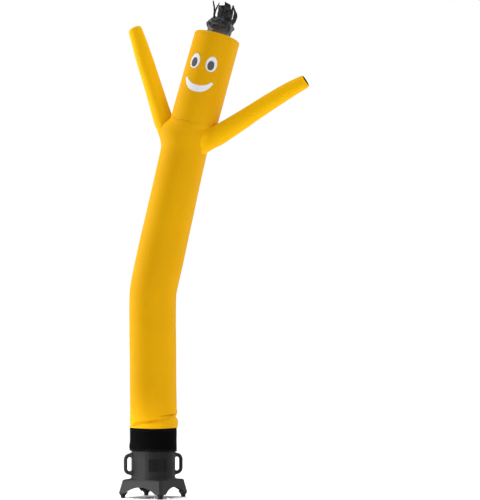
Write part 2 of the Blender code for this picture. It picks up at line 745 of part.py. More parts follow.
def handle_path():
    """Middle line of a handle in its own plane: distance from the axis, height and grip radius."""
    reach = HANDLE_REACH - HANDLE_R
    low = HANDLE_LOW + HANDLE_R
    high = HANDLE_HIGH - HANDLE_R
    rows = [(DRUM_R - 9 * MM, low, HANDLE_ROOT_R + 2 * MM), (DRUM_R + 3 * MM, low, HANDLE_ROOT_R)]
    for step in range(5):
        a = -math.pi / 2 + step * math.pi / 8
        along = reach - HANDLE_CORNER + HANDLE_CORNER * math.cos(a)
        rows.append((along, low + HANDLE_CORNER + HANDLE_CORNER * math.sin(a), HANDLE_R))
    upper = [(along, low + high - height, radius) for along, height, radius in reversed(rows)]
    return rows + upper


def make_handle(name, angle, trim, surface, parent):
    rows = handle_path()
    turn = Matrix.Rotation(angle, 3, "Z")
    rings = []
    for i, (along, height, radius) in enumerate(rows):
        before = rows[max(i - 1, 0)]
        after = rows[min(i + 1, len(rows) - 1)]
        heading = Vector((after[0] - before[0], 0, after[1] - before[1])).normalized()
        inward = Vector((-heading.z, 0, heading.x))
        ring = []
        for a in azimuths(12):
            spread = inward * math.cos(a) + Vector((0, 1.08, 0)) * math.sin(a)
            ring.append(turn @ (Vector((along, 0, height)) + spread * radius))
        rings.append(ring)
    made = loft(name, rings, surface, parent)
    combine(made, trim, "DIFFERENCE")


def make_handles(surface, parent):
    heights = (DECK_Z, DRUM_TOP)
    rings = [base_ring(height, DRUM_R + GAP) for height in heights]
    trim = as_cutter(loft("drum_space", rings, None, parent))
    make_handle("handle_right", 0, trim, surface, parent)
    make_handle("handle_left", math.pi, trim, surface, parent)


def turned(name, profile, sides, turn, place, surface, parent):
    """A turned solid: rows of radius and height, turned and put in its place."""
    rings = []
    for radius, height in profile:
        ring = [Vector((radius * math.cos(a), radius * math.sin(a), height)) for a in azimuths(sides)]
        rings.append([place + turn @ p for p in ring])
    return loft(name, rings, surface, parent)


def make_feet(surface, parent):
    profile = ((14 * MM, 0), (16.5 * MM, 17 * MM), (19 * MM, 20 * MM), (24.5 * MM, BASE_BOTTOM - 4 * MM))
    profile += ((25 * MM, BASE_BOTTOM - GAP),)
    for number, name in enumerate(("right", "back", "left", "front")):
        angle = number * math.pi / 2
        place = Vector((FOOT_RADIUS * math.cos(angle), FOOT_RADIUS * math.sin(angle), 0))
        turned("foot_" + name, profile, 16, Matrix.Identity(3), place, surface, parent)


def make_label(surface, parent):
    """A thin blank panel that lies on the drum's own flats."""
    first = LABEL_CENTRE - LABEL_HALF_ANGLE
    last = LABEL_CENTRE + LABEL_HALF_ANGLE
    flats = [a + turn for a in base_angles() for turn in (0, -2 * math.pi)]
    corners = sorted([first, last] + [a for a in flats if first < a < last])
    known = sorted(flats)
    rings = []
    for angle in corners:
        before = max(a for a in known if a <= angle)
        after = min(a for a in known if a > angle)
        middle = (before + after) / 2
        flat = math.cos((after - before) / 2) / math.cos(angle - middle)
        ring = []
        for lift, height in ((GAP, LABEL_LOW), (1.3 * MM, LABEL_LOW), (1.3 * MM, LABEL_HIGH), (GAP, LABEL_HIGH)):
            radius = (DRUM_R + lift) * flat
            ring.append(Vector((radius * math.cos(angle), radius * math.sin(angle), height)))
        rings.append(ring)
    loft("label", rings, surface, parent)


def make_screws(surface, parent):
    profile = ((3.6 * MM, 0), (3.6 * MM, 1.2 * MM), (2.4 * MM, 2.4 * MM))
    number = 1
    for quarter in range(4):
        angle = SCREW_FIRST + quarter * math.pi / 2
        outward = Vector((math.cos(angle), math.sin(angle), 0))
        turn = outward.to_track_quat("Z", "Y").to_matrix()
        for height in SCREW_HEIGHTS:
            place = outward * (DRUM_R + GAP) + Vector((0, 0, height))
            turned(f"screw_{number}", profile, 10, turn, place, surface, parent)
            number += 1


def make_part():
    clear_scene()
    yellow = finish("yellow_nylon", (0.86, 0.50, 0.02), 0.55)
    black_nylon = finish("black_nylon", (0.012, 0.012, 0.014), 0.6)
    hair_nylon = finish("hair_nylon", (0.03, 0.03, 0.035), 0.4)
    white = finish("white_patch", (0.80, 0.79, 0.82), 0.6)
    grey = finish("grey_patch", (0.07, 0.075, 0.08), 0.6)
    moulded = finish("moulded_plastic", (0.045, 0.045, 0.047), 0.5)
    ribbed = finish("band_plastic", (0.03, 0.035, 0.042), 0.45)
    rubber = finish("foot_rubber", (0.02, 0.02, 0.02), 0.8)
    panel = finish("blank_panel", (0.01, 0.01, 0.01), 0.3)
    steel = finish("screw_steel", (0.10, 0.10, 0.10), 0.4, 1.0)
    dancer = frame_empty("dancer", 0)
    blower = frame_empty("blower", BLOWER_TURN)
    make_tubes(yellow, dancer)
    make_cap(yellow, dancer)
    make_face(white, grey, dancer)
    make_hair(hair_nylon, dancer)
    make_cuff(black_nylon, dancer)
    make_housing(moulded, blower)
    make_band(ribbed, blower)
    make_handles(moulded, blower)
    make_feet(rubber, blower)
    make_label(panel, blower)
    make_screws(steel, blower)


make_part()
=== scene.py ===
"""Looks of the inflatable air dancer: blown-up cloth, seams and stitching, hair, face patches and blower.

Everything is in metres, in the frame's own axes. The tubes repeat the construction's formulas from the
sizes below and add what a solid leaves out: puckers, hems, stitches and the nylon's own crinkle.
"""
import math

import bpy
from mathutils import Euler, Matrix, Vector, noise


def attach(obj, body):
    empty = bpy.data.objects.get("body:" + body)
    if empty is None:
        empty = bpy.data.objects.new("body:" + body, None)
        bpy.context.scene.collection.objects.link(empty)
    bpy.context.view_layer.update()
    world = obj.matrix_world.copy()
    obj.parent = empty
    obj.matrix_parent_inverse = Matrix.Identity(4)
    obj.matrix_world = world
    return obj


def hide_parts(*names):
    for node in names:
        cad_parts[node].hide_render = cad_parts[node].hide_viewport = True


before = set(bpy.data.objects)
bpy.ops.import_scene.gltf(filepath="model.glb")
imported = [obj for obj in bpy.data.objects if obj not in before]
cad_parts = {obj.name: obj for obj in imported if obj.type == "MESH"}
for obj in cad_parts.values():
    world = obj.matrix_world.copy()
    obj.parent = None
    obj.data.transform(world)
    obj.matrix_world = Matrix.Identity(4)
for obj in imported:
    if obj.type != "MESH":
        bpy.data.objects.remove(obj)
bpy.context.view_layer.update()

MM = 0.001
GAP = 0.3 * MM
UP = Vector((0, 0, 1))
AXIS = Vector((-405 * MM, 25 * MM, 0))
CLOTH = 1.6 * MM
CLOTH_WIDTH = 2 * math.pi * 154 * MM

# Body tube
TUBE_SIDES = 132
CUFF_TOP = 466.5 * MM
UPRIGHT_Z = 600 * MM
LOWER_SLOPE = -0.0105
KINK_Z = 1368 * MM
KINK_SOFTNESS = 45 * MM
UPPER_SLOPE = 0.2216
BODY_BOTTOM_R = 155.5 * MM
BODY_BELLY = 3.5 * MM
BELLY_Z = 1600 * MM
BELLY_REACH = 280 * MM
BODY_TOP_R = 155 * MM
SHOULDER_REACH = 125 * MM
SHOULDER_ROUND = 46 * MM
SWELL = 32 * MM
SWELL_REACH = 215 * MM
SWELL_ROUND = 105 * MM

# Slack roll above the cuff, low at the left and high at the right
ROLL_MIDDLE = 43 * MM
ROLL_SLANT = 27 * MM
ROLL_PROUD = 6.5 * MM
ROLL_PROUD_SLANT = 2 * MM
ROLL_CREASE_SHARE = 0.9
ROLL_CREASE_HALF = 11 * MM
RIDGE_SHARE = 0.5
RIDGE_RISE = 30 * MM
RIDGE_HALF = 16 * MM
SLACK_STARTS = 14 * MM
BAG_REACH = 26 * MM
BAG_PROUD = 4.2 * MM
BAG_DROP = 4.5 * MM

# Neck and head
NECK_Z = 2514 * MM
NECK_R = 158.5 * MM
NECK_SHIFT = 23.5 * MM
NECK_LEAN = math.radians(11.8)
NECK_NOD = math.radians(8)
HEAD_LENGTH = 587 * MM
HEAD_LEAN = math.radians(15.4)
HEAD_TOP_R = 155 * MM
HEAD_HEM_R = 152.5 * MM
HEAD_STRAIGHTENS = 90 * MM
TOP_NOD = math.radians(-4)
TOP_NOD_REACH = 130 * MM
HEAD_HEM = 14 * MM
HEAD_TUCKED_IN = 2.8 * MM
HEM_SEWN = 16 * MM
HEM_PROUD = 0.7 * MM
HEM_DIP = 0.9 * MM
HEM_DIP_AT = 17.5 * MM
HEM_EDGE = 2 * MM
GROOVE_LEAST = 0.5 * MM
GROOVE_DEPTH = 4.4 * MM
GROOVE_HALF = 6.5 * MM
GROOVE_AZIMUTH = math.radians(-22)
GROOVE_SPREAD = math.radians(30)
CAP_DOME = 13 * MM
CAP_RIM_SEWN = 0.965
HUB_SHARE = 0.36
HUB_REACH = 0.12
HUB_PLEATS = 15
HUB_PLEATS_DEEP = 1.2 * MM

# Face patches, on the head's arc and length
PATCH_LIFT = 0.5 * MM
PATCH_THICK = 1.1 * MM
PATCH_ROLL = 0.6 * MM
PATCH_ROLLS_FROM = 0.93
PATCH_STITCHES = 0.9 * MM
FACE_AZIMUTH = math.radians(-14.7)
EYE_ALONG = 384 * MM
EYE_SPREAD = 60 * MM
EYE_SIZE = (77 * MM, 104 * MM)
EYE_NARROWS = 0.06
PUPIL_SIZE = (45 * MM, 64 * MM)
PUPIL_SHIFT = (-2 * MM, -10 * MM)
PUPIL_LIFT = 1.8 * MM
SMILE_SHIFT = 2.5 * MM
SMILE_HALF_WIDTH = 105 * MM
SMILE_LOW = 182 * MM
SMILE_TOP = 228 * MM
SMILE_LOW_RISE = 75 * MM
SMILE_TOP_RISE = 60 * MM
SMILE_END = 256 * MM
SMILE_BLUNTS_FROM = 0.84
SMILE_BLUNTNESS = 0.95

# Cuff
CUFF_BOTTOM = 310 * MM
CUFF_TILT = 3 * MM
CUFF_INNER_R = 153.2 * MM
CUFF_THICK = 3 * MM
CUFF_DEEPEST = 1.4 * MM
CUFF_HEM = 12 * MM
CUFF_HEM_DIP = 1.2 * MM
CUFF_HEM_DIP_AT = 13 * MM
CUFF_HEM_DIP_HALF = 2.2 * MM
CUFF_EDGE = 3 * MM
CUFF_EDGE_IN = 1.1 * MM
GATHER_TOP = 395 * MM
GATHER_REACH = 70 * MM
GATHER_DEPTH = 0.9 * MM
BULGE = 3 * MM
BULGE_Z = 338 * MM
BULGE_HALF_HEIGHT = 18 * MM
BULGE_HALF_ANGLE = 0.3


def table(columns, *rows):
    """Rows of sizes under their columns' names."""
    return [dict(zip(columns.split(), row)) for row in rows]


# Short creases of slack cloth above the cuff: azimuth and slope in degrees, the rest in mm
CREASE_COLUMNS = "azimuth height slope half_length half_width depth"
CREASES = table(
    CREASE_COLUMNS,
    (-42, 492, 16, 62, 9, 4.5),
    (-12, 513, -14, 48, 9, 3.5),
    (48, 540, 22, 70, 10, 4),
    (150, 505, -12, 70, 10, 4),
    (-150, 530, 10, 60, 10, 3.5),
)

# Fine creases and ridges that only the looks have: above the cuff and at the bend
FINE_CREASES = table(
    CREASE_COLUMNS,
    (48, 550, 3, 72, 5, 13),
    (46, 561, 3, 60, 6, -2.5),
    (6, 534, 20, 30, 5, 3),
    (50, 530, 3, 66, 12, -7.5),
    (-6, 508, 8, 58, 5.5, 10),
    (-46, 492, 12, 40, 5, 6),
    (-14, 513, 14, 46, 6, -3),
    (26, 496, 10, 60, 6, -2.5),
    (-60, 484, 4, 36, 5, 3.5),
    (74, 558, 10, 46, 6, 2.2),
    (14, 553, 12, 44, 8, 1.6),
    (104, 508, -12, 40, 6, 2.4),
    (128, 566, -14, 52, 8, 2.2),
    (178, 548, 14, 52, 7, 2.4),
    (-118, 500, -10, 40, 5, 2.2),
    (-168, 484, 8, 46, 5, 2),
    (84, 1372, 4, 60, 9, 2.2),
    (118, 1342, -9, 44, 8, 1.8),
    (62, 1404, 12, 38, 8, 1.2),
)

# Gathers beside each seam: pitch, reach and depth, in mm
PUCKERS = {
    "body at neck": (23, 16, 1.1),
    "body at cuff": (15, 9, 1.0),
    "head at neck": (23, 14, 0.9),
    "head at top": (19, 12, 0.7),
    "arm at root": (27, 20, 0.8),
    "arm at hem": (14, 9, 0.6),
    "cuff at hem": (12.5, 17, 1.0),
    "cuff at top": (17, 10, 0.6),
    "cap at rim": (13, 15, 1.0),
}

# Lapped seam down each tube's back, with a dip on both its sides
BACK_SEAM = math.radians(172)
SEAM_HALF = 7 * MM
SEAM_EDGE = 2.5 * MM
SEAM_PROUD = 0.9 * MM
SEAM_DIP = 0.8 * MM
SEAM_DIP_AT = 9 * MM
SEAM_DIP_HALF = 3 * MM


def soft_step(t):
    """Eases from 0 to 1 as t goes from 0 to 1."""
    t = min(max(t, 0.0), 1.0)
    return t * t * (3 - 2 * t)


def blend(a, b, t):
    return a + (b - a) * t


def hump(offset, half_width):
    """A soft bump: 1 in its middle, fading on both sides."""
    return math.exp(-((offset / half_width) ** 2))


def wrapped(angle):
    """The same angle, from minus half a turn to half a turn."""
    return (angle + math.pi) % (2 * math.pi) - math.pi


def turned_by(lean, nod):
    """The turn of a section that leans to the right and nods to the viewer."""
    return Euler((nod, lean, 0), "XYZ").to_matrix()


def on_section(centre, turn, radius, azimuth):
    """A point on a round section, at an azimuth from its front to its right."""
    return centre + turn @ Vector((radius * math.sin(azimuth), -radius * math.cos(azimuth), 0))


def steps_between(*stretches):
    """Values from the first start to the last end: a stretch is start, end and usual step, in mm."""
    values = [stretches[0][0]]
    for start, end, step in stretches:
        count = max(1, round((end - start) / step))
        values += [start + (end - start) * i / count for i in range(1, count + 1)]
    return [value * MM for value in values]


# Shapes of the cloth


def body_section(height):
    """Centre, turn and plain radius of the body's section whose middle is at this height."""
    above = height - KINK_Z
    bend = math.hypot(above, KINK_SOFTNESS)
    turn = UPPER_SLOPE - LOWER_SLOPE
    into_neck = soft_step((height - NECK_Z + SHOULDER_ROUND) / SHOULDER_ROUND)
    into_shoulder = soft_step((height - NECK_Z + SHOULDER_REACH) / SHOULDER_REACH)
    off_cuff = soft_step((height - CUFF_TOP) / (UPRIGHT_Z - CUFF_TOP))
    lean = off_cuff * math.atan(LOWER_SLOPE + turn * (1 + above / bend) / 2)
    lean = blend(lean, NECK_LEAN, into_shoulder)
    across = LOWER_SLOPE * (height - UPRIGHT_Z) + turn * (above + bend) / 2
    centre = Vector((across + NECK_SHIFT * into_neck, 0, height))
    radius = blend(BODY_BOTTOM_R, BODY_TOP_R, (height - CUFF_TOP) / (NECK_Z - CUFF_TOP))
    radius += BODY_BELLY * hump(height - BELLY_Z, BELLY_REACH)
    radius = blend(radius, NECK_R, into_neck)
    return centre, turned_by(lean, NECK_NOD * into_shoulder), radius


def crease_depth(crease, height, azimuth, radius):
    along = wrapped(azimuth - math.radians(crease["azimuth"])) * radius
    if abs(along) > 3 * crease["half_length"] * MM:
        return 0.0
    rise = height - crease["height"] * MM - along * math.tan(math.radians(crease["slope"]))
    fade = hump(along, crease["half_length"] * MM)
    return crease["depth"] * MM * fade * hump(rise, crease["half_width"] * MM)


def slack(height, azimuth, radius):
    """How far the cloth stands proud of the plain tube, or sinks into it, in the slack above the cuff."""
    above = height - CUFF_TOP
    if above > 260 * MM:
        return 0.0
    top = ROLL_MIDDLE + ROLL_SLANT * math.sin(azimuth)
    size = ROLL_PROUD + ROLL_PROUD_SLANT * math.sin(azimuth)
    proud = 0.0
    if 0 < above < top:
        proud += size * math.sin(math.pi * above / top)
    proud -= size * ROLL_CREASE_SHARE * hump(above - top, ROLL_CREASE_HALF)
    proud += size * RIDGE_SHARE * hump(above - top - RIDGE_RISE, RIDGE_HALF)
    for crease in CREASES:
        proud -= crease_depth(crease, height, azimuth, radius)
    return proud * soft_step(above / SLACK_STARTS)


def shoulder_swell(height, azimuth):
    """The body swells at its left just below the neck, where no arm takes up the cloth."""
    below = NECK_Z - height
    grows = soft_step((SWELL_REACH - below) / (SWELL_REACH - SWELL_ROUND))
    return SWELL * grows * soft_step(below / SWELL_ROUND) * (0.5 - 0.5 * math.sin(azimuth))


def billow(point, size, depth):
    """The soft unevenness of blown-up cloth, over this size and to this depth."""
    return depth * noise.noise(point / size)


def puckers(along, from_seam, seam):
    """Small gathers beside a seam, uneven along it and fading away from it."""
    pitch, reach, depth = (size * MM for size in PUCKERS[seam])
    if from_seam > 4 * reach:
        return 0.0
    drift = 0.45 * noise.noise(Vector((along / 0.07, 3.1, 0)))
    strength = 0.6 + 0.6 * noise.noise(Vector((along / 0.11, 7.7, 0)))
    wave = math.sin(2 * math.pi * (along / pitch + drift))
    return depth * strength * wave * math.exp(-from_seam / reach)


def seam_ridge(azimuth, radius):
    """The lapped seam down a tube's back."""
    across = abs(wrapped(azimuth - BACK_SEAM) * radius)
    dip = SEAM_DIP * hump(across - SEAM_DIP_AT, SEAM_DIP_HALF)
    return SEAM_PROUD * soft_step((SEAM_HALF - across) / SEAM_EDGE) - dip


def neck_groove(from_seam, azimuth):
    """The seam at the neck sinks in, most at the front's left."""
    front_left = hump(wrapped(azimuth - GROOVE_AZIMUTH), GROOVE_SPREAD)
    return -(GROOVE_LEAST + GROOVE_DEPTH * front_left) * hump(from_seam, GROOVE_HALF)


def body_skin(height, azimuth, offset):
    centre, turn, radius = body_section(height)
    place = on_section(centre, turn, radius, azimuth)
    arc = wrapped(azimuth) * radius
    proud = slack(height, azimuth, radius) + shoulder_swell(height, azimuth)
    for crease in FINE_CREASES:
        if abs(height - crease["height"] * MM) < 60 * MM:
            proud -= crease_depth(crease, height, azimuth, radius)
    proud += billow(place, 0.21, 1.3 * MM) + seam_ridge(azimuth, radius)
    proud += puckers(arc, NECK_Z - height, "body at neck")
    proud += puckers(arc, height - CUFF_TOP, "body at cuff")
    proud += neck_groove(NECK_Z - height, azimuth)
    low = 1 - soft_step((height - CUFF_TOP) / BAG_REACH)
    proud += BAG_PROUD * low
    lowered = Vector((0, 0, BAG_DROP * low * hump(wrapped(azimuth - 0.1), 1.1)))
    return on_section(centre, turn, radius + proud + offset, azimuth) - lowered


def head_line():
    """The neck's centre and the way that the head points."""
    return body_section(NECK_Z)[0], turned_by(HEAD_LEAN, 0) @ UP


def head_section(along):
    """Centre, turn and radius of the head's section at this length above the neck."""
    straight = soft_step(along / HEAD_STRAIGHTENS)
    neck, axis = head_line()
    at_top = soft_step((along - HEAD_LENGTH + TOP_NOD_REACH) / TOP_NOD_REACH)
    nod = NECK_NOD * (1 - straight) + TOP_NOD * at_top
    turn = turned_by(blend(NECK_LEAN, HEAD_LEAN, straight), nod)
    radius = blend(NECK_R, HEAD_TOP_R, along / HEAD_LENGTH)
    hem = soft_step((along - HEAD_LENGTH + HEAD_HEM) / HEAD_HEM)
    return neck + axis * along, turn, blend(radius, HEAD_HEM_R, hem)


def head_proud(along, azimuth, place, radius):
    if along < 0.5 * MM:
        return -HEAD_TUCKED_IN
    arc = wrapped(azimuth) * radius
    from_top = HEAD_LENGTH - along
    proud = billow(place, 0.19, 1.2 * MM) * soft_step(from_top / (30 * MM)) + seam_ridge(azimuth, radius)
    proud += puckers(arc + 8 * MM, along, "head at neck")
    proud += puckers(arc, from_top, "head at top")
    proud += neck_groove(along, azimuth)
    proud += HEM_PROUD * soft_step((HEM_SEWN - from_top) / HEM_EDGE)
    proud -= HEM_DIP * hump(from_top - HEM_DIP_AT, HEM_EDGE)
    return proud


def head_skin(along, azimuth, offset):
    centre, turn, radius = head_section(along)
    place = on_section(centre, turn, radius, azimuth)
    return on_section(centre, turn, radius + head_proud(along, azimuth, place, radius) + offset, azimuth)


def narrowed(low, high, rounds, beyond):
    """Closes in on the value from which on this test holds."""
    for _ in range(rounds):
        middle = (low + high) / 2
        if beyond(middle):
            high = middle
        else:
            low = middle
    return low, high


def outside_dancer(point):
    """Distance of a point from the body's or the head's skin, negative inside."""

    def above(height):
        centre, turn, _ = body_section(height)
        return (point - centre).dot(turn @ UP) <= 0

    low, high = narrowed(point.z - 0.22, point.z + 0.22, 16, above)
    height = (low + high) / 2
    if height < NECK_Z:
        centre, turn, radius = body_section(height)
        local = turn.transposed() @ (point - centre)
        radius += shoulder_swell(height, math.atan2(local.x, -local.y))
    else:
        neck, axis = head_line()
        centre, turn, radius = head_section((point - neck).dot(axis))
        local = turn.transposed() @ (point - centre)
    return math.hypot(local.x, local.y) - radius


# Arms: root centre on the body and tip centre, from the blower's axis, in mm
ARMS = table(
    "name root tip root_r tip_r bow flare",
    ("arm_right", (361, -49, 2373), (1014, -269, 2751), 68, 44.5, 9, 24),
    ("arm_left", (87, 49, 2452), (-141, 215, 3173), 66, 48.5, 0, 3),
)
ARM_SIDES = 96
ARM_BELLY = 3 * MM
ARM_ROOT_PINCH = 8 * MM
FLARE_REACH = 85 * MM
ARM_TIP_TUCK = 2.5 * MM
ARM_RIPPLE = 1.2 * MM
ARM_MIDDLE_R = 50 * MM
ARM_SEAM_PROUD = 1.4 * MM
ARM_SEAM_HALF = 4 * MM
ARM_SEAM_DIP = 0.6 * MM
ARM_TWIST = 0.8 * MM
ARM_BILLOW = 1.4 * MM
ARM_HEM = 22 * MM
ARM_HEM_PROUD = 0.6 * MM
ARM_HEM_DIP = 0.8 * MM
ARM_TIP_DROOP = 8 * MM
ARM_DROOP_REACH = 14 * MM
ARM_TURN_REACH = 9 * MM
ARM_HEM_TURNED_IN = 14 * MM
ARM_TIP_SLANT = 1.0 * MM


class Arm:
    """One arm's line, turn and skin, with its root cut to the body."""

    def __init__(self, sizes):
        self.root = Vector(sizes["root"]) * MM
        self.tip = Vector(sizes["tip"]) * MM
        self.sizes = sizes
        along = self.tip - self.root
        self.length = along.length
        self.turn = along.normalized().to_track_quat("Z", "Y").to_matrix()
        self.starts = [self.start_at(2 * math.pi * j / ARM_SIDES) for j in range(ARM_SIDES)]
        self.droop = self.turn.transposed() @ Vector((-0.35, -0.6, -0.7))

    def plain(self, t, azimuth, offset=0.0):
        radius = blend(self.sizes["root_r"], self.sizes["tip_r"], t) * MM
        radius += ARM_BELLY * math.sin(math.pi * min(max(t, 0.0), 1.0))
        radius += ARM_RIPPLE * math.sin(9 * t + 2 * azimuth)
        radius -= ARM_ROOT_PINCH * (1 - soft_step(t / 0.12)) + ARM_TIP_TUCK * soft_step((t - 0.97) / 0.03)
        rise = self.sizes["bow"] * MM * math.sin(math.pi * t * abs(t))
        line = self.root.lerp(self.tip, t) + Vector((0, 0, rise))
        return on_section(line, self.turn, radius + offset, azimuth)

    def to_viewer(self, azimuth):
        """How much this side of the arm faces the front: from -1 to 1."""
        return -(self.turn @ Vector((math.sin(azimuth), -math.cos(azimuth), 0))).y

    def flare(self, azimuth):
        """How wide the root spreads on the body, at the side that faces the front."""
        return self.sizes["flare"] * MM * soft_step(self.to_viewer(azimuth))

    def start_at(self, azimuth):
        """The share of the arm's length at which this side of it meets the body."""
        wide = self.flare(azimuth)

        def outside(t):
            return outside_dancer(self.plain(t, azimuth, wide)) > 0

        t = 0.3
        while t > -0.2 and outside(t):
            t -= 0.02
        return narrowed(t, t + 0.02, 7, outside)[1]

    def skin(self, share, azimuth, offset):
        """A point at a share of the way from the cut root to the tip, on the nearest of its sides."""
        side = round(azimuth / (2 * math.pi) * ARM_SIDES) % ARM_SIDES
        azimuth = 2 * math.pi * side / ARM_SIDES
        start = self.starts[side]
        t = blend(start, 1.0, share)
        t += ARM_TIP_SLANT * self.to_viewer(azimuth) / self.length * soft_step((share - 0.9) / 0.1)
        from_root = share * (1 - start) * self.length
        from_tip = (1 - share) * (1 - start) * self.length
        arc = azimuth * ARM_MIDDLE_R
        proud = ARM_SEAM_PROUD * max(1 - from_root / ARM_SEAM_HALF, 0.0) ** 2
        proud -= ARM_SEAM_DIP * hump(from_root - 6 * MM, ARM_SEAM_HALF)
        proud += self.flare(azimuth) * max(1 - from_root / FLARE_REACH, 0.0) ** 4
        proud += puckers(arc, from_root, "arm at root")
        proud += ARM_TWIST * math.sin(3 * azimuth + 5 * t) * soft_step(from_root / (90 * MM))
        proud += billow(self.plain(t, azimuth), 0.12, ARM_BILLOW) * soft_step(from_tip / (60 * MM))
        proud += ARM_HEM_PROUD * soft_step((ARM_HEM - from_tip) / HEM_EDGE)
        proud -= ARM_HEM_DIP * hump(from_tip - ARM_HEM, HEM_EDGE)
        proud += puckers(arc, abs(from_tip - ARM_HEM), "arm at hem")
        facing = soft_step(math.sin(azimuth) * self.droop.x - math.cos(azimuth) * self.droop.y)
        proud -= ARM_TIP_DROOP * facing * soft_step((ARM_DROOP_REACH - from_tip) / ARM_DROOP_REACH)
        if offset < 0:
            turned_in = blend(0.25, 1.0, facing) * soft_step((ARM_TURN_REACH - from_tip) / ARM_TURN_REACH)
            offset -= ARM_HEM_TURNED_IN * turned_in
        return self.plain(t, azimuth, proud + offset)


def cuff_skin(height, azimuth, offset):
    low = soft_step((GATHER_TOP - height) / GATHER_REACH)
    gather = GATHER_DEPTH * low * (1 + math.sin(9 * azimuth + 0.6) * math.cos(2 * azimuth))
    bulge = BULGE * hump(wrapped(azimuth + math.pi / 2), BULGE_HALF_ANGLE)
    bulge *= hump(height - BULGE_Z, BULGE_HALF_HEIGHT)
    arc = wrapped(azimuth) * CUFF_INNER_R
    from_hem = height - CUFF_BOTTOM
    proud = puckers(arc, max(from_hem - CUFF_HEM, 0.0), "cuff at hem")
    proud += puckers(arc, CUFF_TOP - height, "cuff at top")
    proud += billow(Vector((arc, 0, height)), 0.05, 0.8 * MM)
    proud -= CUFF_HEM_DIP * hump(from_hem - CUFF_HEM_DIP_AT, CUFF_HEM_DIP_HALF)
    proud -= CUFF_EDGE_IN * soft_step((CUFF_EDGE - from_hem) / CUFF_EDGE)
    radius = CUFF_INNER_R + gather + bulge
    radius += offset if offset < CUFF_THICK / 2 else offset + max(proud, -CUFF_DEEPEST)
    drop = CUFF_TILT * math.sin(azimuth) * (CUFF_TOP - height) / (CUFF_TOP - CUFF_BOTTOM)
    return Vector((radius * math.sin(azimuth), -radius * math.cos(azimuth), height - drop))


# Meshes


def put(name, data):
    made = bpy.data.objects.new(name, data)
    bpy.context.collection.objects.link(made)
    return made


def add_piece(name, points, faces, surface, uvs=None, smooth=True, angle=50):
    mesh = bpy.data.meshes.new(name)
    mesh.from_pydata([tuple(p) for p in points], [], faces)
    if uvs:
        layer = mesh.uv_layers.new(name="cloth")
        layer.data.foreach_set("uv", [size for face_uvs in uvs for uv in face_uvs for size in uv])
    mesh.materials.append(surface)
    if smooth:
        mesh.shade_smooth()
        mesh.set_sharp_from_angle(angle=math.radians(angle))
    made = put(name, mesh)
    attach(made, "root")
    return made


def cell(i, j, wide, first=0):
    """Corners of one cell in a grid of points, in rows of this many; the last one meets the first."""
    low, high, k = first + i * wide, first + (i + 1) * wide, (j + 1) % wide
    return low + j, low + k, high + k, high + j


def closed_faces(cells, half):
    """A thin sheet's faces: one side, the other with later points, and a strip along each open edge."""
    edges = [(a, b) for face in cells for a, b in zip(face, face[1:] + face[:1])]
    known = set(edges)
    strips = [(b, a, a + half, b + half) for a, b in edges if (b, a) not in known]
    return cells + [tuple(corner + half for corner in face[::-1]) for face in cells] + strips


def shell_piece(
    name, skin, values, sides, surface, inside, outside=0.0, width=1.0, lengths=None, skip=None,
    painted_inner_shade=None,
):
    """A thin round sheet: its outer rows, and its inner rows a wall's thickness inside them."""
    lengths = lengths or values
    points = []
    for offset in (outside, inside):
        for value in values:
            points += [AXIS + skin(value, 2 * math.pi * j / sides, offset) for j in range(sides)]
    half = len(points) // 2
    cells = []
    for i in range(len(values) - 1):
        for j in range(sides):
            if not (skip and skip(points[i * sides + j] - AXIS)):
                cells.append(cell(i, j, sides))
    faces = closed_faces(cells, half)
    uvs = []
    for face in faces:
        columns = [corner % sides for corner in face]
        if max(columns) == sides - 1:
            columns = [column or sides for column in columns]
        uv = [(c / sides * width, lengths[corner % half // sides]) for c, corner in zip(columns, face)]
        uvs.append([min(uv)] * 4 if min(face) < half <= max(face) else uv)
    made = add_piece(name, points, faces, surface, uvs)
    # Where given, the inner faces get their own material, painted darker for the shade inside.
    if painted_inner_shade:
        made.data.materials.append(painted_inner_shade)
        for polygon in made.data.polygons:
            polygon.material_index = int(min(polygon.vertices) >= half)
    return made


# Sewing: how far stitches stand off the cloth, how far their rows are from the seams, and the patches'
# close stitches by length, gap and thread
STITCH_LIFT = 0.1 * MM
SEAM_STITCHES_AT = 4.2 * MM
NECK_STITCHES_AT = 5 * MM
CLOSE_STITCHES = (1.9 * MM, 0.2 * MM, 0.4 * MM)


def along_track(track, along, distance):
    """Place and outward normal at this distance along a track, from the distances of its own points."""
    after = next((n for n, d in enumerate(along) if d > distance), len(along))
    i = max(0, min(len(along) - 2, after - 1))
    share = (distance - along[i]) / max(along[i + 1] - along[i], 1e-9)
    (here, out), (there, out_there) = track[i], track[i + 1]
    return here.lerp(there, share), out.lerp(out_there, share).normalized()


def stitch_mesh(name, tracks, surface, stitch=3.2 * MM, gap=1.2 * MM, thread=0.55 * MM, zigzag=0.0):
    """Sewing as one mesh: each track is a list of surface points with their outward normals."""
    points, faces = [], []
    for track in tracks:
        along = [0.0]
        for (a, _), (b, _) in zip(track, track[1:]):
            along.append(along[-1] + (b - a).length)
        for number in range(int(along[-1] / (stitch + gap))):
            place = number * (stitch + gap)
            start, normal = along_track(track, along, place)
            end, _ = along_track(track, along, place + stitch)
            side = (end - start).normalized().cross(normal)
            if zigzag:
                swing = side * zigzag * (1 if number % 2 else -1)
                start, end = start + swing, end - swing
                side = (end - start).normalized().cross(normal)
            middle = (start + end) / 2 + normal * thread * 0.9
            first = len(points)
            points += [start - normal * thread * 0.3, end - normal * thread * 0.3]
            for k in range(4):
                a = k * math.pi / 2 + math.pi / 4
                points.append(middle + (side * math.cos(a) + normal * math.sin(a) * 0.8) * thread)
            for k in range(4):
                a, b = first + 2 + k, first + 2 + (k + 1) % 4
                faces.append((first, a, b))
                faces.append((first + 1, b, a))
    return add_piece(name, points, faces, surface, smooth=False)


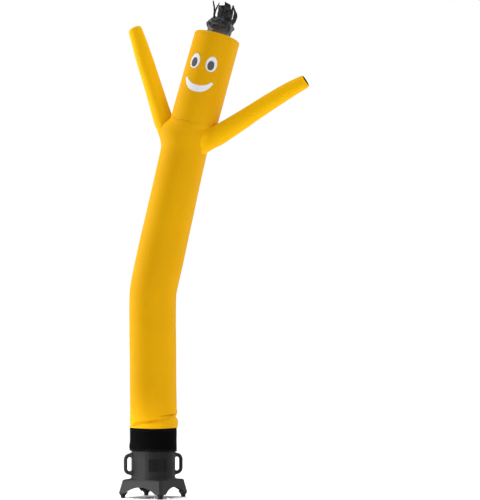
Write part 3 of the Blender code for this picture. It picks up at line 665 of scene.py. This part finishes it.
def sewn_at(skin, row, azimuth, offset):
    """A point that a stitch passes through, with the skin's outward normal."""
    here = skin(row, azimuth, offset)
    return AXIS + here, (skin(row, azimuth, offset + MM) - here).normalized()


def ring_track(skin, value, offset, sides=240):
    """A closed track round a skin at one row."""
    return [sewn_at(skin, value, 2 * math.pi * j / sides, offset) for j in range(sides + 1)]


def line_track(skin, values, azimuth, offset):
    """A track along a skin at one azimuth."""
    return [sewn_at(skin, value, azimuth, offset) for value in values]


# Materials


class Nodes:
    """A material's node tree with short calls for what these finishes need."""

    def __init__(self, name):
        self.material = bpy.data.materials.new(name)
        self.material.use_nodes = True
        self.tree = self.material.node_tree
        self.shader = self.tree.nodes["Principled BSDF"]

    def feed(self, node, inputs):
        """Gives a node its inputs, each a value or another node's output."""
        for key, value in inputs.items():
            if isinstance(value, bpy.types.NodeSocket):
                self.tree.links.new(value, node.inputs[key])
            else:
                node.inputs[key].default_value = value

    def add(self, kind, inputs, **settings):
        made = self.tree.nodes.new(kind)
        for name, value in settings.items():
            setattr(made, name, value)
        self.feed(made, inputs)
        return made.outputs

    def place(self):
        return self.add("ShaderNodeTexCoord", {})["Object"]

    def noise(self, scale, detail=2.0):
        inputs = {"Scale": scale, "Detail": detail, "Vector": self.place()}
        return self.add("ShaderNodeTexNoise", inputs)["Fac"]

    def drift(self, scale, detail, low, high):
        """A slow, uneven drift between two values."""
        return self.mapped(self.noise(scale, detail), low, high, 0.3, 0.7)

    def cells(self, scale):
        inputs = {"Scale": scale, "Vector": self.place()}
        return self.add("ShaderNodeTexVoronoi", inputs, feature="F1")["Distance"]

    def parts_of(self, vector):
        return self.add("ShaderNodeSeparateXYZ", {"Vector": vector})

    def sum(self, operation, first, second, clamp=False):
        inputs = {0: first, 1: second}
        return self.add("ShaderNodeMath", inputs, operation=operation, use_clamp=clamp)[0]

    def mapped(self, value, low, high, from_low=0.0, from_high=1.0):
        inputs = {"From Min": from_low, "From Max": from_high, "To Min": low, "To Max": high}
        return self.add("ShaderNodeMapRange", {"Value": value, **inputs})["Result"]

    def tint(self, factor, first, second):
        inputs = {"Factor": factor, "A": (*first, 1.0), "B": (*second, 1.0)}
        return self.add("ShaderNodeMix", inputs, data_type="RGBA")["Result"]

    def bump(self, height, distance, strength, under=None):
        inputs = {"Height": height, "Distance": distance, "Strength": strength}
        if under:
            inputs["Normal"] = under
        return self.add("ShaderNodeBump", inputs)["Normal"]

    def grid(self, pitch, width):
        """Raised threads in squares, along the cloth's own length and width."""
        place = self.parts_of(self.add("ShaderNodeUVMap", {}, uv_map="cloth")["UV"])
        lines = []
        for axis in ("X", "Y"):
            turns = self.sum("MULTIPLY", place[axis], 1 / pitch)
            from_line = self.sum("PINGPONG", turns, 0.5)
            lines.append(self.mapped(from_line, 1.0, 0.0, 0.0, width / pitch))
        return self.sum("MAXIMUM", *lines, clamp=True)

    def finish(self, colour, roughness, normal=None, gloss=0.5, sheen=0.0):
        inputs = {"Base Color": colour, "Roughness": roughness, "Specular IOR Level": gloss}
        if normal:
            inputs["Normal"] = normal
        self.feed(self.shader, {"Sheen Weight": sheen, **inputs})
        return self.material


# Rip-stop threads: how far they stand up, and their pitch and width on the cloth and in the hair's film
THREAD_PROUD = 0.05 * MM
CLOTH_THREADS = (5.2 * MM, 0.9 * MM)
FILM_THREADS = (4.0 * MM, 0.7 * MM)
COLLAR_RIBS = 220


def nylon(name, light, deep, roughness, gloss):
    """Rip-stop nylon: square threads, a fine crinkle, and a slow drift of its tone."""
    n = Nodes(name)
    tone = n.drift(3.2, 3.0, 0.0, 1.0)
    threads = n.grid(*CLOTH_THREADS)
    tone = n.sum("SUBTRACT", tone, n.sum("MULTIPLY", threads, 0.35), clamp=True)
    rough = n.mapped(n.noise(38), roughness - 0.05, roughness + 0.06)
    creases = n.bump(n.noise(46, 4.0), 0.12 * MM, 0.3)
    weave = n.bump(threads, THREAD_PROUD, 0.25, creases)
    return n.finish(n.tint(tone, deep, light), rough, weave, gloss)


def hair_finish(root, up):
    """Thin black film: painted lighter grey low in the bunch, for light shining through it, black higher
    up and in the strips.
    """
    n = Nodes("hair_nylon_painted_light_cloth")
    rise = n.add("ShaderNodeVectorMath", {0: n.place(), 1: up}, operation="DOT_PRODUCT")["Value"]
    start = root.dot(up)
    # Painted light: the film is painted lighter below this band of heights, in uneven patches.
    height = n.mapped(rise, 0.0, 1.0, start + 12 * MM, start + 50 * MM)
    patchy_painted_light = n.sum("ADD", height, n.drift(42, 3.0, -0.35, 0.35), clamp=True)
    shade = n.tint(patchy_painted_light, (0.085, 0.084, 0.086), (0.007, 0.007, 0.0076))
    creases = n.bump(n.noise(90, 3.0), 0.25 * MM, 0.4)
    weave = n.bump(n.grid(*FILM_THREADS), THREAD_PROUD, 0.3, creases)
    return n.finish(shade, n.mapped(n.noise(60), 0.36, 0.52), weave, 0.22)


def thread_finish(name, light, deep):
    n = Nodes(name)
    twist = n.noise(900)
    return n.finish(n.tint(twist, deep, light), 0.6, n.bump(twist, 0.1 * MM, 0.5), sheen=0.3)


# Painted light on the blower's base: how much lighter it is painted, and the heights that it fades out
# between
BASE_PAINTED_LIGHT = 1.2
BASE_PAINTED_LIGHT_FADES = (95 * MM, 135 * MM)


def moulded(name, dark, light, roughness, pebble=0.32 * MM, scale=430, painted_light_low=False):
    """Pebbled plastic, a little worn and uneven in tone, with painted light low down on its base."""
    n = Nodes(name)
    grain = n.cells(scale)
    fine = n.noise(scale * 2.1)
    speck_and_painted_light = n.sum("ADD", n.mapped(grain, 0.75, 0.1, 0.0, 0.75), n.drift(7, 3.0, -0.2, 0.25))
    # Painted light: lighter towards the floor, fading out between the heights given above.
    if painted_light_low:
        height = n.parts_of(n.place())["Z"]
        speck_and_painted_light = n.sum("ADD", speck_and_painted_light, n.mapped(height, BASE_PAINTED_LIGHT, 0.0, *BASE_PAINTED_LIGHT_FADES))
    rough = n.mapped(fine, roughness - 0.08, roughness + 0.1)
    pebbles = n.sum("ADD", n.mapped(grain, 1.0, 0.0, 0.0, 0.8), n.sum("MULTIPLY", fine, 0.3))
    return n.finish(n.tint(speck_and_painted_light, dark, light), rough, n.bump(pebbles, pebble, 0.7), 0.12)


def rubber_finish():
    n = Nodes("foot_rubber_finish")
    dust = n.mapped(n.noise(60, 4.0), 0.0, 1.0, 0.42, 0.75)
    shade = n.tint(dust, (0.005, 0.005, 0.005), (0.014, 0.0136, 0.0132))
    return n.finish(shade, 0.8, n.bump(n.noise(700, 3.0), 0.1 * MM, 0.5), 0.15)


def ribbed_finish():
    """Fine upright ribs round the collar, with painted shade in their grooves and painted highlight on
    their crests.
    """
    n = Nodes("ribbed_band_painted_shade_finish")
    across = n.parts_of(n.add("ShaderNodeVectorMath", {0: n.place(), 1: AXIS}, operation="SUBTRACT")[0])
    angle = n.sum("ARCTAN2", across["Y"], across["X"])
    ribs = n.sum("PINGPONG", n.sum("MULTIPLY", angle, COLLAR_RIBS / (2 * math.pi)), 0.5)
    # Painted shade and highlight: the tone follows the ribs' height.
    tone = n.sum("MULTIPLY", ribs, 2.0, clamp=True)
    shade = n.tint(tone, (0.014, 0.017, 0.022), (0.045, 0.052, 0.064))
    return n.finish(shade, 0.45, n.bump(ribs, 1.2 * MM, 0.8))


def panel_finish():
    n = Nodes("blank_panel_finish")
    film = n.noise(30)
    shade = n.tint(film, (0.002, 0.002, 0.002), (0.004, 0.004, 0.004))
    return n.finish(shade, n.mapped(film, 0.3, 0.42), gloss=0.12)


def steel_finish():
    n = Nodes("screw_steel_finish")
    worn = n.noise(500, 3.0)
    shade = n.tint(worn, (0.002, 0.002, 0.002), (0.006, 0.006, 0.006))
    return n.finish(shade, n.mapped(worn, 0.5, 0.7), gloss=0.2)


def floor_finish():
    n = Nodes("pale_floor")
    shade = n.tint(n.noise(0.8), (0.85, 0.85, 0.85), (0.88, 0.88, 0.877))
    return n.finish(shade, 0.95, gloss=0.1)


YELLOW = nylon("yellow_nylon_cloth", (0.645, 0.330, 0.002), (0.615, 0.308, 0.002), 0.6, 0.03)
# The arms are the body's yellow nylon painted lighter, for light shining through the thinner tubes.
ARM_PAINTED_LIGHTER_YELLOW = nylon("arm_nylon_painted_lighter_cloth", (0.775, 0.420, 0.002), (0.74, 0.392, 0.002), 0.6, 0.03)
# Painted shade: the arms' inner faces are yellow nylon painted near black, for the shade deep inside the
# tubes.
PAINTED_INSIDE_SHADE = nylon("yellow_nylon_painted_inside_shade", (0.05, 0.026, 0.003), (0.035, 0.018, 0.002), 0.7, 0.03)
BLACK = nylon("black_nylon_cloth", (0.0022, 0.0022, 0.0023), (0.0014, 0.0014, 0.0015), 0.7, 0.01)
WHITE = nylon("white_patch_cloth", (0.73, 0.72, 0.745), (0.67, 0.66, 0.69), 0.7, 0.06)
GREY = nylon("grey_patch_cloth", (0.10, 0.105, 0.115), (0.07, 0.073, 0.08), 0.6, 0.15)
YELLOW_THREAD = thread_finish("yellow_thread", (0.62, 0.31, 0.004), (0.40, 0.18, 0.002))
WHITE_THREAD = thread_finish("white_thread", (0.78, 0.77, 0.8), (0.5, 0.49, 0.52))
BLACK_THREAD = thread_finish("black_thread", (0.02, 0.02, 0.021), (0.006, 0.006, 0.006))


# Cloth pieces


def make_body():
    values = steps_between(
        (466.8, 480, 1.6), (480, 600, 2.8), (600, 660, 6), (660, 1200, 18), (1200, 1300, 10),
        (1300, 1440, 5), (1440, 1560, 10), (1560, 2330, 18), (2330, 2460, 7), (2460, 2514, 1.7),
    )

    def in_arm(point):
        for arm in arms:
            local = arm.turn.transposed() @ (point - arm.root)
            t = local.z / arm.length
            if -0.2 < t < 0.25 and math.hypot(local.x, local.y) < 50 * MM:
                return True
        return False

    made = shell_piece(
        "body_cloth", body_skin, values, TUBE_SIDES, YELLOW, -CLOTH, width=CLOTH_WIDTH, skip=in_arm
    )
    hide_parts("body_tube")


def make_head():
    values = steps_between(
        (-4, 0.6, 4.6), (0.6, 24, 1.6), (24, 100, 5), (100, 520, 10), (520, 565, 4), (565, 587, 1.2)
    )
    made = shell_piece("head_cloth", head_skin, values, TUBE_SIDES, YELLOW, -CLOTH, width=CLOTH_WIDTH)
    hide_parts("head_tube")


def cap_skin(share, azimuth, offset):
    centre, turn, radius = head_section(HEAD_LENGTH)
    rim = puckers(azimuth * radius, (1 - share) * radius, "cap at rim")
    hub = -HUB_PLEATS_DEEP * math.cos(HUB_PLEATS * azimuth) * hump(share - HUB_SHARE, HUB_REACH)
    dome = CLOTH + GAP + CAP_DOME * (1 - share * share)
    lift = dome + rim * (1 - hump(share - 1, 0.02)) + hub + offset
    return on_section(centre + turn @ UP * lift, turn, radius * share, azimuth)


def make_cap():
    shares = [0.02, 0.1, 0.2] + [0.26 + 0.02 * i for i in range(11)]
    shares += [0.5 + 0.04 * i for i in range(9)] + [0.85 + 0.015 * i for i in range(11)]
    lengths = [share * 0.149 for share in shares]
    made = shell_piece(
        "cap_cloth", cap_skin, shares, TUBE_SIDES, YELLOW, -CLOTH, width=0.94, lengths=lengths
    )
    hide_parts("head_cap")


def make_arms():
    for arm in arms:
        name = arm.sizes["name"]
        shares = [0.0, 0.0015, 0.003, 0.0045, 0.006, 0.008, 0.011, 0.015, 0.02]
        shares += [0.02 + 0.01 * i for i in range(1, 14)] + [0.15 + 0.02 * i for i in range(1, 37)]
        hem = 1 - ARM_HEM / arm.length
        shares += [0.89, 0.91, 0.93, 0.95, hem - 0.006]
        shares += [blend(hem - 0.003, 1.0, i / 14) for i in range(15)]
        lengths = [share * arm.length for share in shares]
        # Outside, the arms' cloth is painted lighter; their inner faces are painted shade.
        made = shell_piece(
            name + "_cloth", arm.skin, shares, ARM_SIDES, ARM_PAINTED_LIGHTER_YELLOW, -CLOTH, width=0.34, lengths=lengths,
            painted_inner_shade=PAINTED_INSIDE_SHADE,
        )
        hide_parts(name)


def make_cuff():
    values = steps_between((310, 328, 1.2), (328, 466.5, 2.6))
    made = shell_piece(
        "cuff_band", cuff_skin, values, 180, BLACK, 0.0, outside=CUFF_THICK, width=2 * math.pi * 156 * MM
    )
    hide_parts("cuff")


def on_head(across, along, offset):
    """A point of a patch: its arc from the middle of the face, its length above the neck, its lift."""
    return head_skin(along, FACE_AZIMUTH + across / head_section(along)[2], offset)


def edge_stitch(across, along, lift):
    """A point on a patch's edge that a stitch passes through, with its outward normal."""
    here = on_head(across, along, lift)
    return AXIS + here, (on_head(across, along, lift + MM) - here).normalized()


def mouth_edges(share):
    """Lower and upper edge of the smile, at a share of its half width."""
    low = SMILE_LOW + SMILE_LOW_RISE * abs(share) ** 2.6
    high = SMILE_TOP + SMILE_TOP_RISE * min(abs(share), SMILE_BLUNTS_FROM) ** 2.4
    end = max((abs(share) - SMILE_BLUNTS_FROM) / (1 - SMILE_BLUNTS_FROM), 0.0)
    full = math.sqrt(1 - (SMILE_BLUNTNESS * end) ** 2)
    return blend(SMILE_END, low, full), blend(SMILE_END, high, full)


def patch_lift(share, height):
    """A patch's top lies flat and rolls down at its sewn edge."""
    return height - PATCH_ROLL * soft_step((share - PATCH_ROLLS_FROM) / (1 - PATCH_ROLLS_FROM))


def make_round_patch(name, place, size, narrow, lift, surface):
    """An oval patch with its middle at a place on the face, narrower at its top by this share."""
    sides, rows = 56, 12
    points, flat = [], []

    def on_oval(j, share_across, share_along):
        a = 2 * math.pi * j / sides
        across = place[0] + math.sin(a) * (1 - narrow * math.cos(a)) * size[0] / 2 * share_across
        return across, place[1] + math.cos(a) * size[1] / 2 * share_along

    for side, raised in ((0, lift), (1, lift + PATCH_THICK)):
        points.append(AXIS + on_head(*place, raised))
        flat.append(place)
        for row in range(1, rows + 1):
            share = row / rows
            for j in range(sides):
                across, along = on_oval(j, share, share)
                top = patch_lift(share, raised) if side else raised
                points.append(AXIS + on_head(across, along, top))
                flat.append((across, along))
    cells = [(0, 1 + j, 1 + (j + 1) % sides) for j in range(sides)]
    cells += [cell(row, j, sides, 1)[::-1] for row in range(rows - 1) for j in range(sides)]
    faces = closed_faces(cells, 1 + sides * rows)
    made = add_piece(name, points, faces, surface, [[flat[i] for i in face] for face in faces])
    edge = []
    for j in range(sides + 1):
        across, along = on_oval(j, 0.965, 0.975)
        edge.append(edge_stitch(across, along, lift + PATCH_STITCHES))
    return made, edge


def make_mouth():
    columns, rows = 72, 10
    points, flat = [], []
    for side, raised in ((0, PATCH_LIFT), (1, PATCH_LIFT + PATCH_THICK)):
        for i in range(columns + 1):
            share = math.sin(math.pi * (i / columns - 0.5))
            low, high = mouth_edges(share)
            for j in range(rows + 1):
                along = blend(low, high, j / rows)
                to_edge = max(abs(share), abs(2 * j / rows - 1))
                top = patch_lift(to_edge, raised) if side else raised
                across = SMILE_SHIFT + share * SMILE_HALF_WIDTH
                points.append(AXIS + on_head(across, along, top))
                flat.append((across, along))
    cells = [cell(i, j, rows + 1) for i in range(columns) for j in range(rows)]
    faces = closed_faces(cells, len(points) // 2)
    made = add_piece("mouth_patch", points, faces, WHITE, [[flat[i] for i in face] for face in faces])
    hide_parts("mouth")
    edge = []
    outline = [(i / 30 - 1, 0) for i in range(61)] + [(1 - i / 30, 1) for i in range(61)] + [(-1, 0)]
    for share, upper in outline:
        low, high = mouth_edges(share)
        along = blend(low, high, 0.94 if upper else 0.06)
        across = SMILE_SHIFT + share * SMILE_HALF_WIDTH * 0.975
        edge.append(edge_stitch(across, along, PATCH_LIFT + PATCH_STITCHES))
    return edge


def make_face():
    edges = [make_mouth()]
    dark_edges = []
    for name, side in (("left", -1), ("right", 1)):
        place = (side * EYE_SPREAD, EYE_ALONG)
        made, edge = make_round_patch(
            f"eye_{name}_patch", place, EYE_SIZE, EYE_NARROWS, PATCH_LIFT, WHITE
        )
        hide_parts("eye_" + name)
        edges.append(edge)
        place = (place[0] + PUPIL_SHIFT[0], place[1] + PUPIL_SHIFT[1])
        made, edge = make_round_patch(
            f"pupil_{name}_patch", place, PUPIL_SIZE, 0.0, PUPIL_LIFT, GREY
        )
        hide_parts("pupil_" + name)
        dark_edges.append(edge)
    white = stitch_mesh("patch_stitching", edges, WHITE_THREAD, *CLOSE_STITCHES, zigzag=1.1 * MM)
    dark = stitch_mesh("pupil_stitching", dark_edges, BLACK_THREAD, *CLOSE_STITCHES, zigzag=1.0 * MM)


# Hair, in mm from the cap's centre in the head's own frame; faces and azimuths in degrees
HAIR_STRIPS = table(
    "root tip bend width tip_width face",
    ((-52, -20), (-92, -26, 218), (6, -2), 16, 8, -25),
    ((-54, -34), (-48, -34, 213), (-8, 0), 14, 6, -15),
    ((-10, -50), (-28, -50, 198), (2, -6), 48, 40, -6),
    ((26, -48), (8, -46, 222), (6, -6), 56, 44, 12),
    ((48, -38), (47, -28, 223), (4, 0), 24, 10, 20),
    ((64, -26), (50, -16, 216), (24, 0), 36, 10, 30),
    ((34, 40), (10, 64, 206), (4, 8), 36, 26, 155),
    ((-4, 50), (-24, 70, 174), (-2, 8), 36, 20, 184),
    ((-38, 38), (-56, 54, 138), (-6, 6), 32, 18, 215),
    ((58, 18), (74, 28, 140), (6, 4), 28, 16, 120),
    ((-14, -4), (-24, 6, 176), (0, 4), 44, 30, 5),
    ((26, 4), (18, 10, 212), (4, 2), 48, 30, -8),
)
HAIR_STRIP_START = 88
HAIR_PROFILE = table(
    "height radius jitter",
    (0, 77, 1.5),
    (16, 79, 4),
    (34, 83, 5),
    (52, 87, 6),
    (68, 89, 7),
    (84, 87, 7),
    (98, 77, 8),
    (108, 64, 8),
    (115, 44, 8),
    (118, 22, 8),
)
HAIR_COLUMNS = 20
HAIR_PLEATS = 9
HAIR_LOBE = {"azimuth": -90, "height": 60, "reach": 14, "half_angle": 0.2, "half_height": 13}
HAIR_FILM = 0.8
HAIR_FOLD = 0.3
HAIR_FOLD_SIZE = 9
HAIR_CUT_SLANT = 0.12
FACET_SPLIT = 4


def scatter(*place):
    """A fixed, uneven shift for a numbered point, from -1 to 1 on each axis."""
    return noise.cell_vector(Vector(place) + Vector((0.5, 0.5, 0.5))) * 2 - Vector((1, 1, 1))


def facets(control, loop):
    """A fine grid over a coarse one: flat facets with sharp folds between them, as crushed film has."""
    rows, wide = len(control) - 1, len(control[0])
    columns = wide if loop else wide - 1
    grid = []
    for i in range(rows * FACET_SPLIT + 1):
        row = min(i // FACET_SPLIT, rows - 1)
        v = i / FACET_SPLIT - row
        line = []
        for j in range(columns * FACET_SPLIT + (0 if loop else 1)):
            column = min(j // FACET_SPLIT, columns - 1)
            u = j / FACET_SPLIT - column
            a, b = control[row][column], control[row][(column + 1) % wide]
            c, d = control[row + 1][column], control[row + 1][(column + 1) % wide]
            if (row + column) % 2:
                place = a + (b - a) * u + (d - b) * v if u >= v else a + (c - a) * v + (d - c) * u
            elif u + v <= 1:
                place = a + (b - a) * u + (c - a) * v
            else:
                place = d + (c - d) * (1 - u) + (b - d) * (1 - v)
            line.append(place)
        grid.append(line)
    return grid


def film(grid, loop, seed, points, faces):
    """Adds both sides and the edges of one thin film."""
    rows, wide = len(grid), len(grid[0])
    first = len(points)
    normals = []
    for i in range(rows):
        for j in range(wide):
            left = grid[i][(j - 1) % wide] if loop else grid[i][max(j - 1, 0)]
            right = grid[i][(j + 1) % wide] if loop else grid[i][min(j + 1, wide - 1)]
            normal = (right - left).cross(grid[min(i + 1, rows - 1)][j] - grid[max(i - 1, 0)][j])
            normals.append(normal.normalized())
    flat = [place for line in grid for place in line]
    for lift in (0.0, -HAIR_FILM):
        for place, normal in zip(flat, normals):
            fold = 1 - 2 * abs(noise.noise(place / HAIR_FOLD_SIZE + Vector((seed * 7.3, 0, 0))))
            points.append(place + normal * (lift + HAIR_FOLD * fold))
    span = wide if loop else wide - 1
    cells = [cell(i, j, wide, first) for i in range(rows - 1) for j in range(span)]
    faces += closed_faces(cells, rows * wide)


def hair_bunch():
    """The crushed bunch that the strips are gathered in, with one lobe folded out at its left."""
    control = []
    for i, row in enumerate(HAIR_PROFILE):
        line = []
        for j in range(HAIR_COLUMNS):
            shift = scatter(i, j, 3) * row["jitter"]
            a = 2 * math.pi * (j + 0.5 * (i % 2)) / HAIR_COLUMNS
            lobe = hump(wrapped(a - math.radians(HAIR_LOBE["azimuth"])), HAIR_LOBE["half_angle"])
            lobe *= hump(row["height"] - HAIR_LOBE["height"], HAIR_LOBE["half_height"])
            pleat = row["jitter"] * 0.5 * math.sin(HAIR_PLEATS * a)
            reach = row["radius"] + shift.x + pleat + HAIR_LOBE["reach"] * lobe
            turn = a + shift.y / 120
            height = row["height"] + (shift.z * 0.6 if i else 0.0)
            line.append(Vector((reach * math.sin(turn), -reach * math.cos(turn), height)))
        control.append(line)
    return facets(control, loop=True)


def hair_strip(number, strip):
    """One ribbon from inside the bunch to its cut tip, folded and a little twisted."""
    rows, columns = 9, 3
    root = Vector((*strip["root"], HAIR_STRIP_START))
    tip = Vector(strip["tip"])
    bend = Vector((*strip["bend"], 0))
    face = math.radians(strip["face"])
    facing = Vector((math.cos(face), math.sin(face), 0))
    outward = Vector((math.sin(face), -math.cos(face), 0))
    control = []
    for i in range(rows + 1):
        t = i / rows
        middle = root.lerp(tip, t) + bend * math.sin(math.pi * t)
        half = blend(strip["width"], strip["tip_width"], t * t) / 2
        line = []
        for j in range(columns + 1):
            s = 2 * j / columns - 1
            shift = scatter(i, j, number * 5)
            cut = strip["tip_width"] * HAIR_CUT_SLANT * s * t**6 * (1 if number % 2 else -1)
            fold = shift.x * min(half * 0.42, 6.5) * soft_step(t / 0.15)
            across = s * half + shift.y * half * 0.10 * (1 - t**8)
            up = cut + shift.z * 2 * (1 - t**8)
            line.append(middle + facing * across + outward * fold + Vector((0, 0, up)))
        control.append(line)
    return facets(control, loop=False)


def make_hair():
    rim, turn, _ = head_section(HEAD_LENGTH)
    centre = rim + turn @ Vector((0, 0, GAP + CLOTH + CAP_DOME + GAP))
    points, faces = [], []
    film(hair_bunch(), True, 0, points, faces)
    for number, strip in enumerate(HAIR_STRIPS, 1):
        film(hair_strip(number, strip), False, number, points, faces)
    flat = [((p.x + p.y) * MM, p.z * MM) for p in points]
    points = [AXIS + centre + turn @ (p * MM) for p in points]
    surface = hair_finish(AXIS + centre, turn @ UP)
    uvs = [[flat[i] for i in face] for face in faces]
    made = add_piece("hair_strips", points, faces, surface, uvs, angle=18)
    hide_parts("hair")


def make_sewing():
    """Rows of stitches along the seams and hems."""
    back = wrapped(BACK_SEAM)
    tracks = []
    body_values = steps_between((472, 640, 6), (640, 2508, 16))
    head_values = steps_between((5, 568, 12))
    for sign in (-1, 1):
        for skin, values, radius in (
            (body_skin, body_values, BODY_BOTTOM_R),
            (head_skin, head_values, HEAD_TOP_R),
        ):
            tracks.append(line_track(skin, values, back + sign * SEAM_STITCHES_AT / radius, STITCH_LIFT))
    for skin, row in (
        (body_skin, NECK_Z - NECK_STITCHES_AT),
        (head_skin, NECK_STITCHES_AT),
        (head_skin, HEAD_LENGTH - 15 * MM),
        (cap_skin, CAP_RIM_SEWN),
        (cap_skin, HUB_SHARE),
        (body_skin, CUFF_TOP + 4.5 * MM),
    ):
        tracks.append(ring_track(skin, row, STITCH_LIFT))
    for arm in arms:
        for share in (0.011, 1 - (ARM_HEM - 3 * MM) / arm.length):
            tracks.append(ring_track(arm.skin, share, STITCH_LIFT, ARM_SIDES))
    made = stitch_mesh("yellow_stitching", tracks, YELLOW_THREAD)
    dark = [
        ring_track(cuff_skin, CUFF_BOTTOM + rise * MM, CUFF_THICK + STITCH_LIFT) for rise in (4, 11, 138)
    ]
    made = stitch_mesh("cuff_stitching", dark, BLACK_THREAD)


# Blower finishes


def dress(node, surface):
    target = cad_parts[node]
    if not target.material_slots:
        target.data.materials.append(surface)
    for place in target.material_slots:
        place.material = surface


def dress_blower():
    dark, light = (0.0045, 0.0045, 0.0047), (0.0145, 0.0145, 0.0148)
    # The housing's plastic carries painted light low on its base.
    plastic = moulded("moulded_plastic_painted_light_finish", dark, light, 0.55, painted_light_low=True)
    dark, light = (0.010, 0.010, 0.0102), (0.028, 0.028, 0.0284)
    grip = moulded("grip_plastic_finish", dark, light, 0.6, 0.25 * MM, 520)
    rubber = rubber_finish()
    dress("housing", plastic)
    dress("collar_band", ribbed_finish())
    dress("label", panel_finish())
    for name in ("handle_left", "handle_right"):
        dress(name, grip)
    for side in ("right", "back", "left", "front"):
        dress("foot_" + side, rubber)
    steel = steel_finish()
    for number in range(1, 9):
        dress(f"screw_{number}", steel)


# Stage, lights and camera

FLOOR_REACH = 60.0
FIGURE_MIDDLE = (-0.2, 0, 1.8)


def make_floor():
    sides = 96
    turns = [2 * math.pi * j / sides for j in range(sides)]
    points = [(0, 0, 0)] + [(FLOOR_REACH * math.cos(a), FLOOR_REACH * math.sin(a), 0) for a in turns]
    faces = [(0, 1 + j, 1 + (j + 1) % sides) for j in range(sides)]
    mesh = bpy.data.meshes.new("studio_floor")
    mesh.from_pydata(points, [], faces)
    mesh.materials.append(floor_finish())
    floor = put("studio_floor", mesh)


def add_light(name, place, aim, size, power, spread=180):
    data = bpy.data.lights.new(name, "AREA")
    data.shape = "RECTANGLE"
    data.size, data.size_y = size
    data.energy = power
    data.spread = math.radians(spread)
    lamp = put(name, data)
    lamp.location = place
    lamp.rotation_euler = (Vector(aim) - Vector(place)).to_track_quat("-Z", "Y").to_euler()


def make_lights():
    world = bpy.data.worlds.new("studio")
    world.use_nodes = True
    tree = world.node_tree
    sky = tree.nodes["Background"]
    sky.inputs["Color"].default_value = (1, 1, 1, 1)
    sky.inputs["Strength"].default_value = 0.25
    seen = tree.nodes.new("ShaderNodeBackground")
    seen.inputs["Color"].default_value = (1, 1, 1, 1)
    mix = tree.nodes.new("ShaderNodeMixShader")
    path = tree.nodes.new("ShaderNodeLightPath")
    tree.links.new(path.outputs["Is Camera Ray"], mix.inputs["Fac"])
    tree.links.new(sky.outputs[0], mix.inputs[1])
    tree.links.new(seen.outputs[0], mix.inputs[2])
    tree.links.new(mix.outputs[0], tree.nodes["World Output"].inputs["Surface"])
    bpy.context.scene.world = world
    bpy.context.scene.view_settings.view_transform = "Standard"
    middle = FIGURE_MIDDLE
    add_light("key_left", (-4.46, 1.09, 2.8), middle, (1.4, 4.2), 235)
    add_light("fill_right", (4.5, -4.9, 3.1), middle, (2.0, 3.6), 143)
    add_light("rim_right", (3.8, 2.6, 2.9), middle, (1.2, 3.6), 80)
    add_light("blower_left", (-2.25, -1.35, 0.25), (-0.45, -0.05, 0.06), (0.5, 0.25), 3.1, spread=32)
    overhead = bpy.data.lights.new("overhead", "SUN")
    overhead.energy = 2.95
    overhead.angle = math.radians(62)
    put("overhead", overhead).location = (0, 0, 6)


CAMERA_PLACE = (0.287, -13.584, 0.953)
CAMERA_TILT = math.radians(2.234)
CAMERA_YAW = math.radians(0.477)
CAMERA_FOCAL = 4.069
CAMERA_SHIFT = 0.05
SENSOR = 36.0


def make_camera():
    data = bpy.data.cameras.new("photo_camera")
    data.sensor_fit = "VERTICAL"
    data.sensor_height = SENSOR
    data.sensor_width = SENSOR
    data.lens = SENSOR * CAMERA_FOCAL
    data.shift_y = CAMERA_SHIFT
    data.clip_end = 200
    camera = put("photo_camera", data)
    camera.location = CAMERA_PLACE
    camera.rotation_euler = (math.pi / 2 + CAMERA_TILT, 0, CAMERA_YAW)
    bpy.context.scene.camera = camera


arms = [Arm(sizes) for sizes in ARMS]
make_camera()
make_body()
make_head()
make_cap()
make_arms()
make_cuff()
make_face()
make_hair()
make_sewing()
dress_blower()
make_floor()
make_lights()
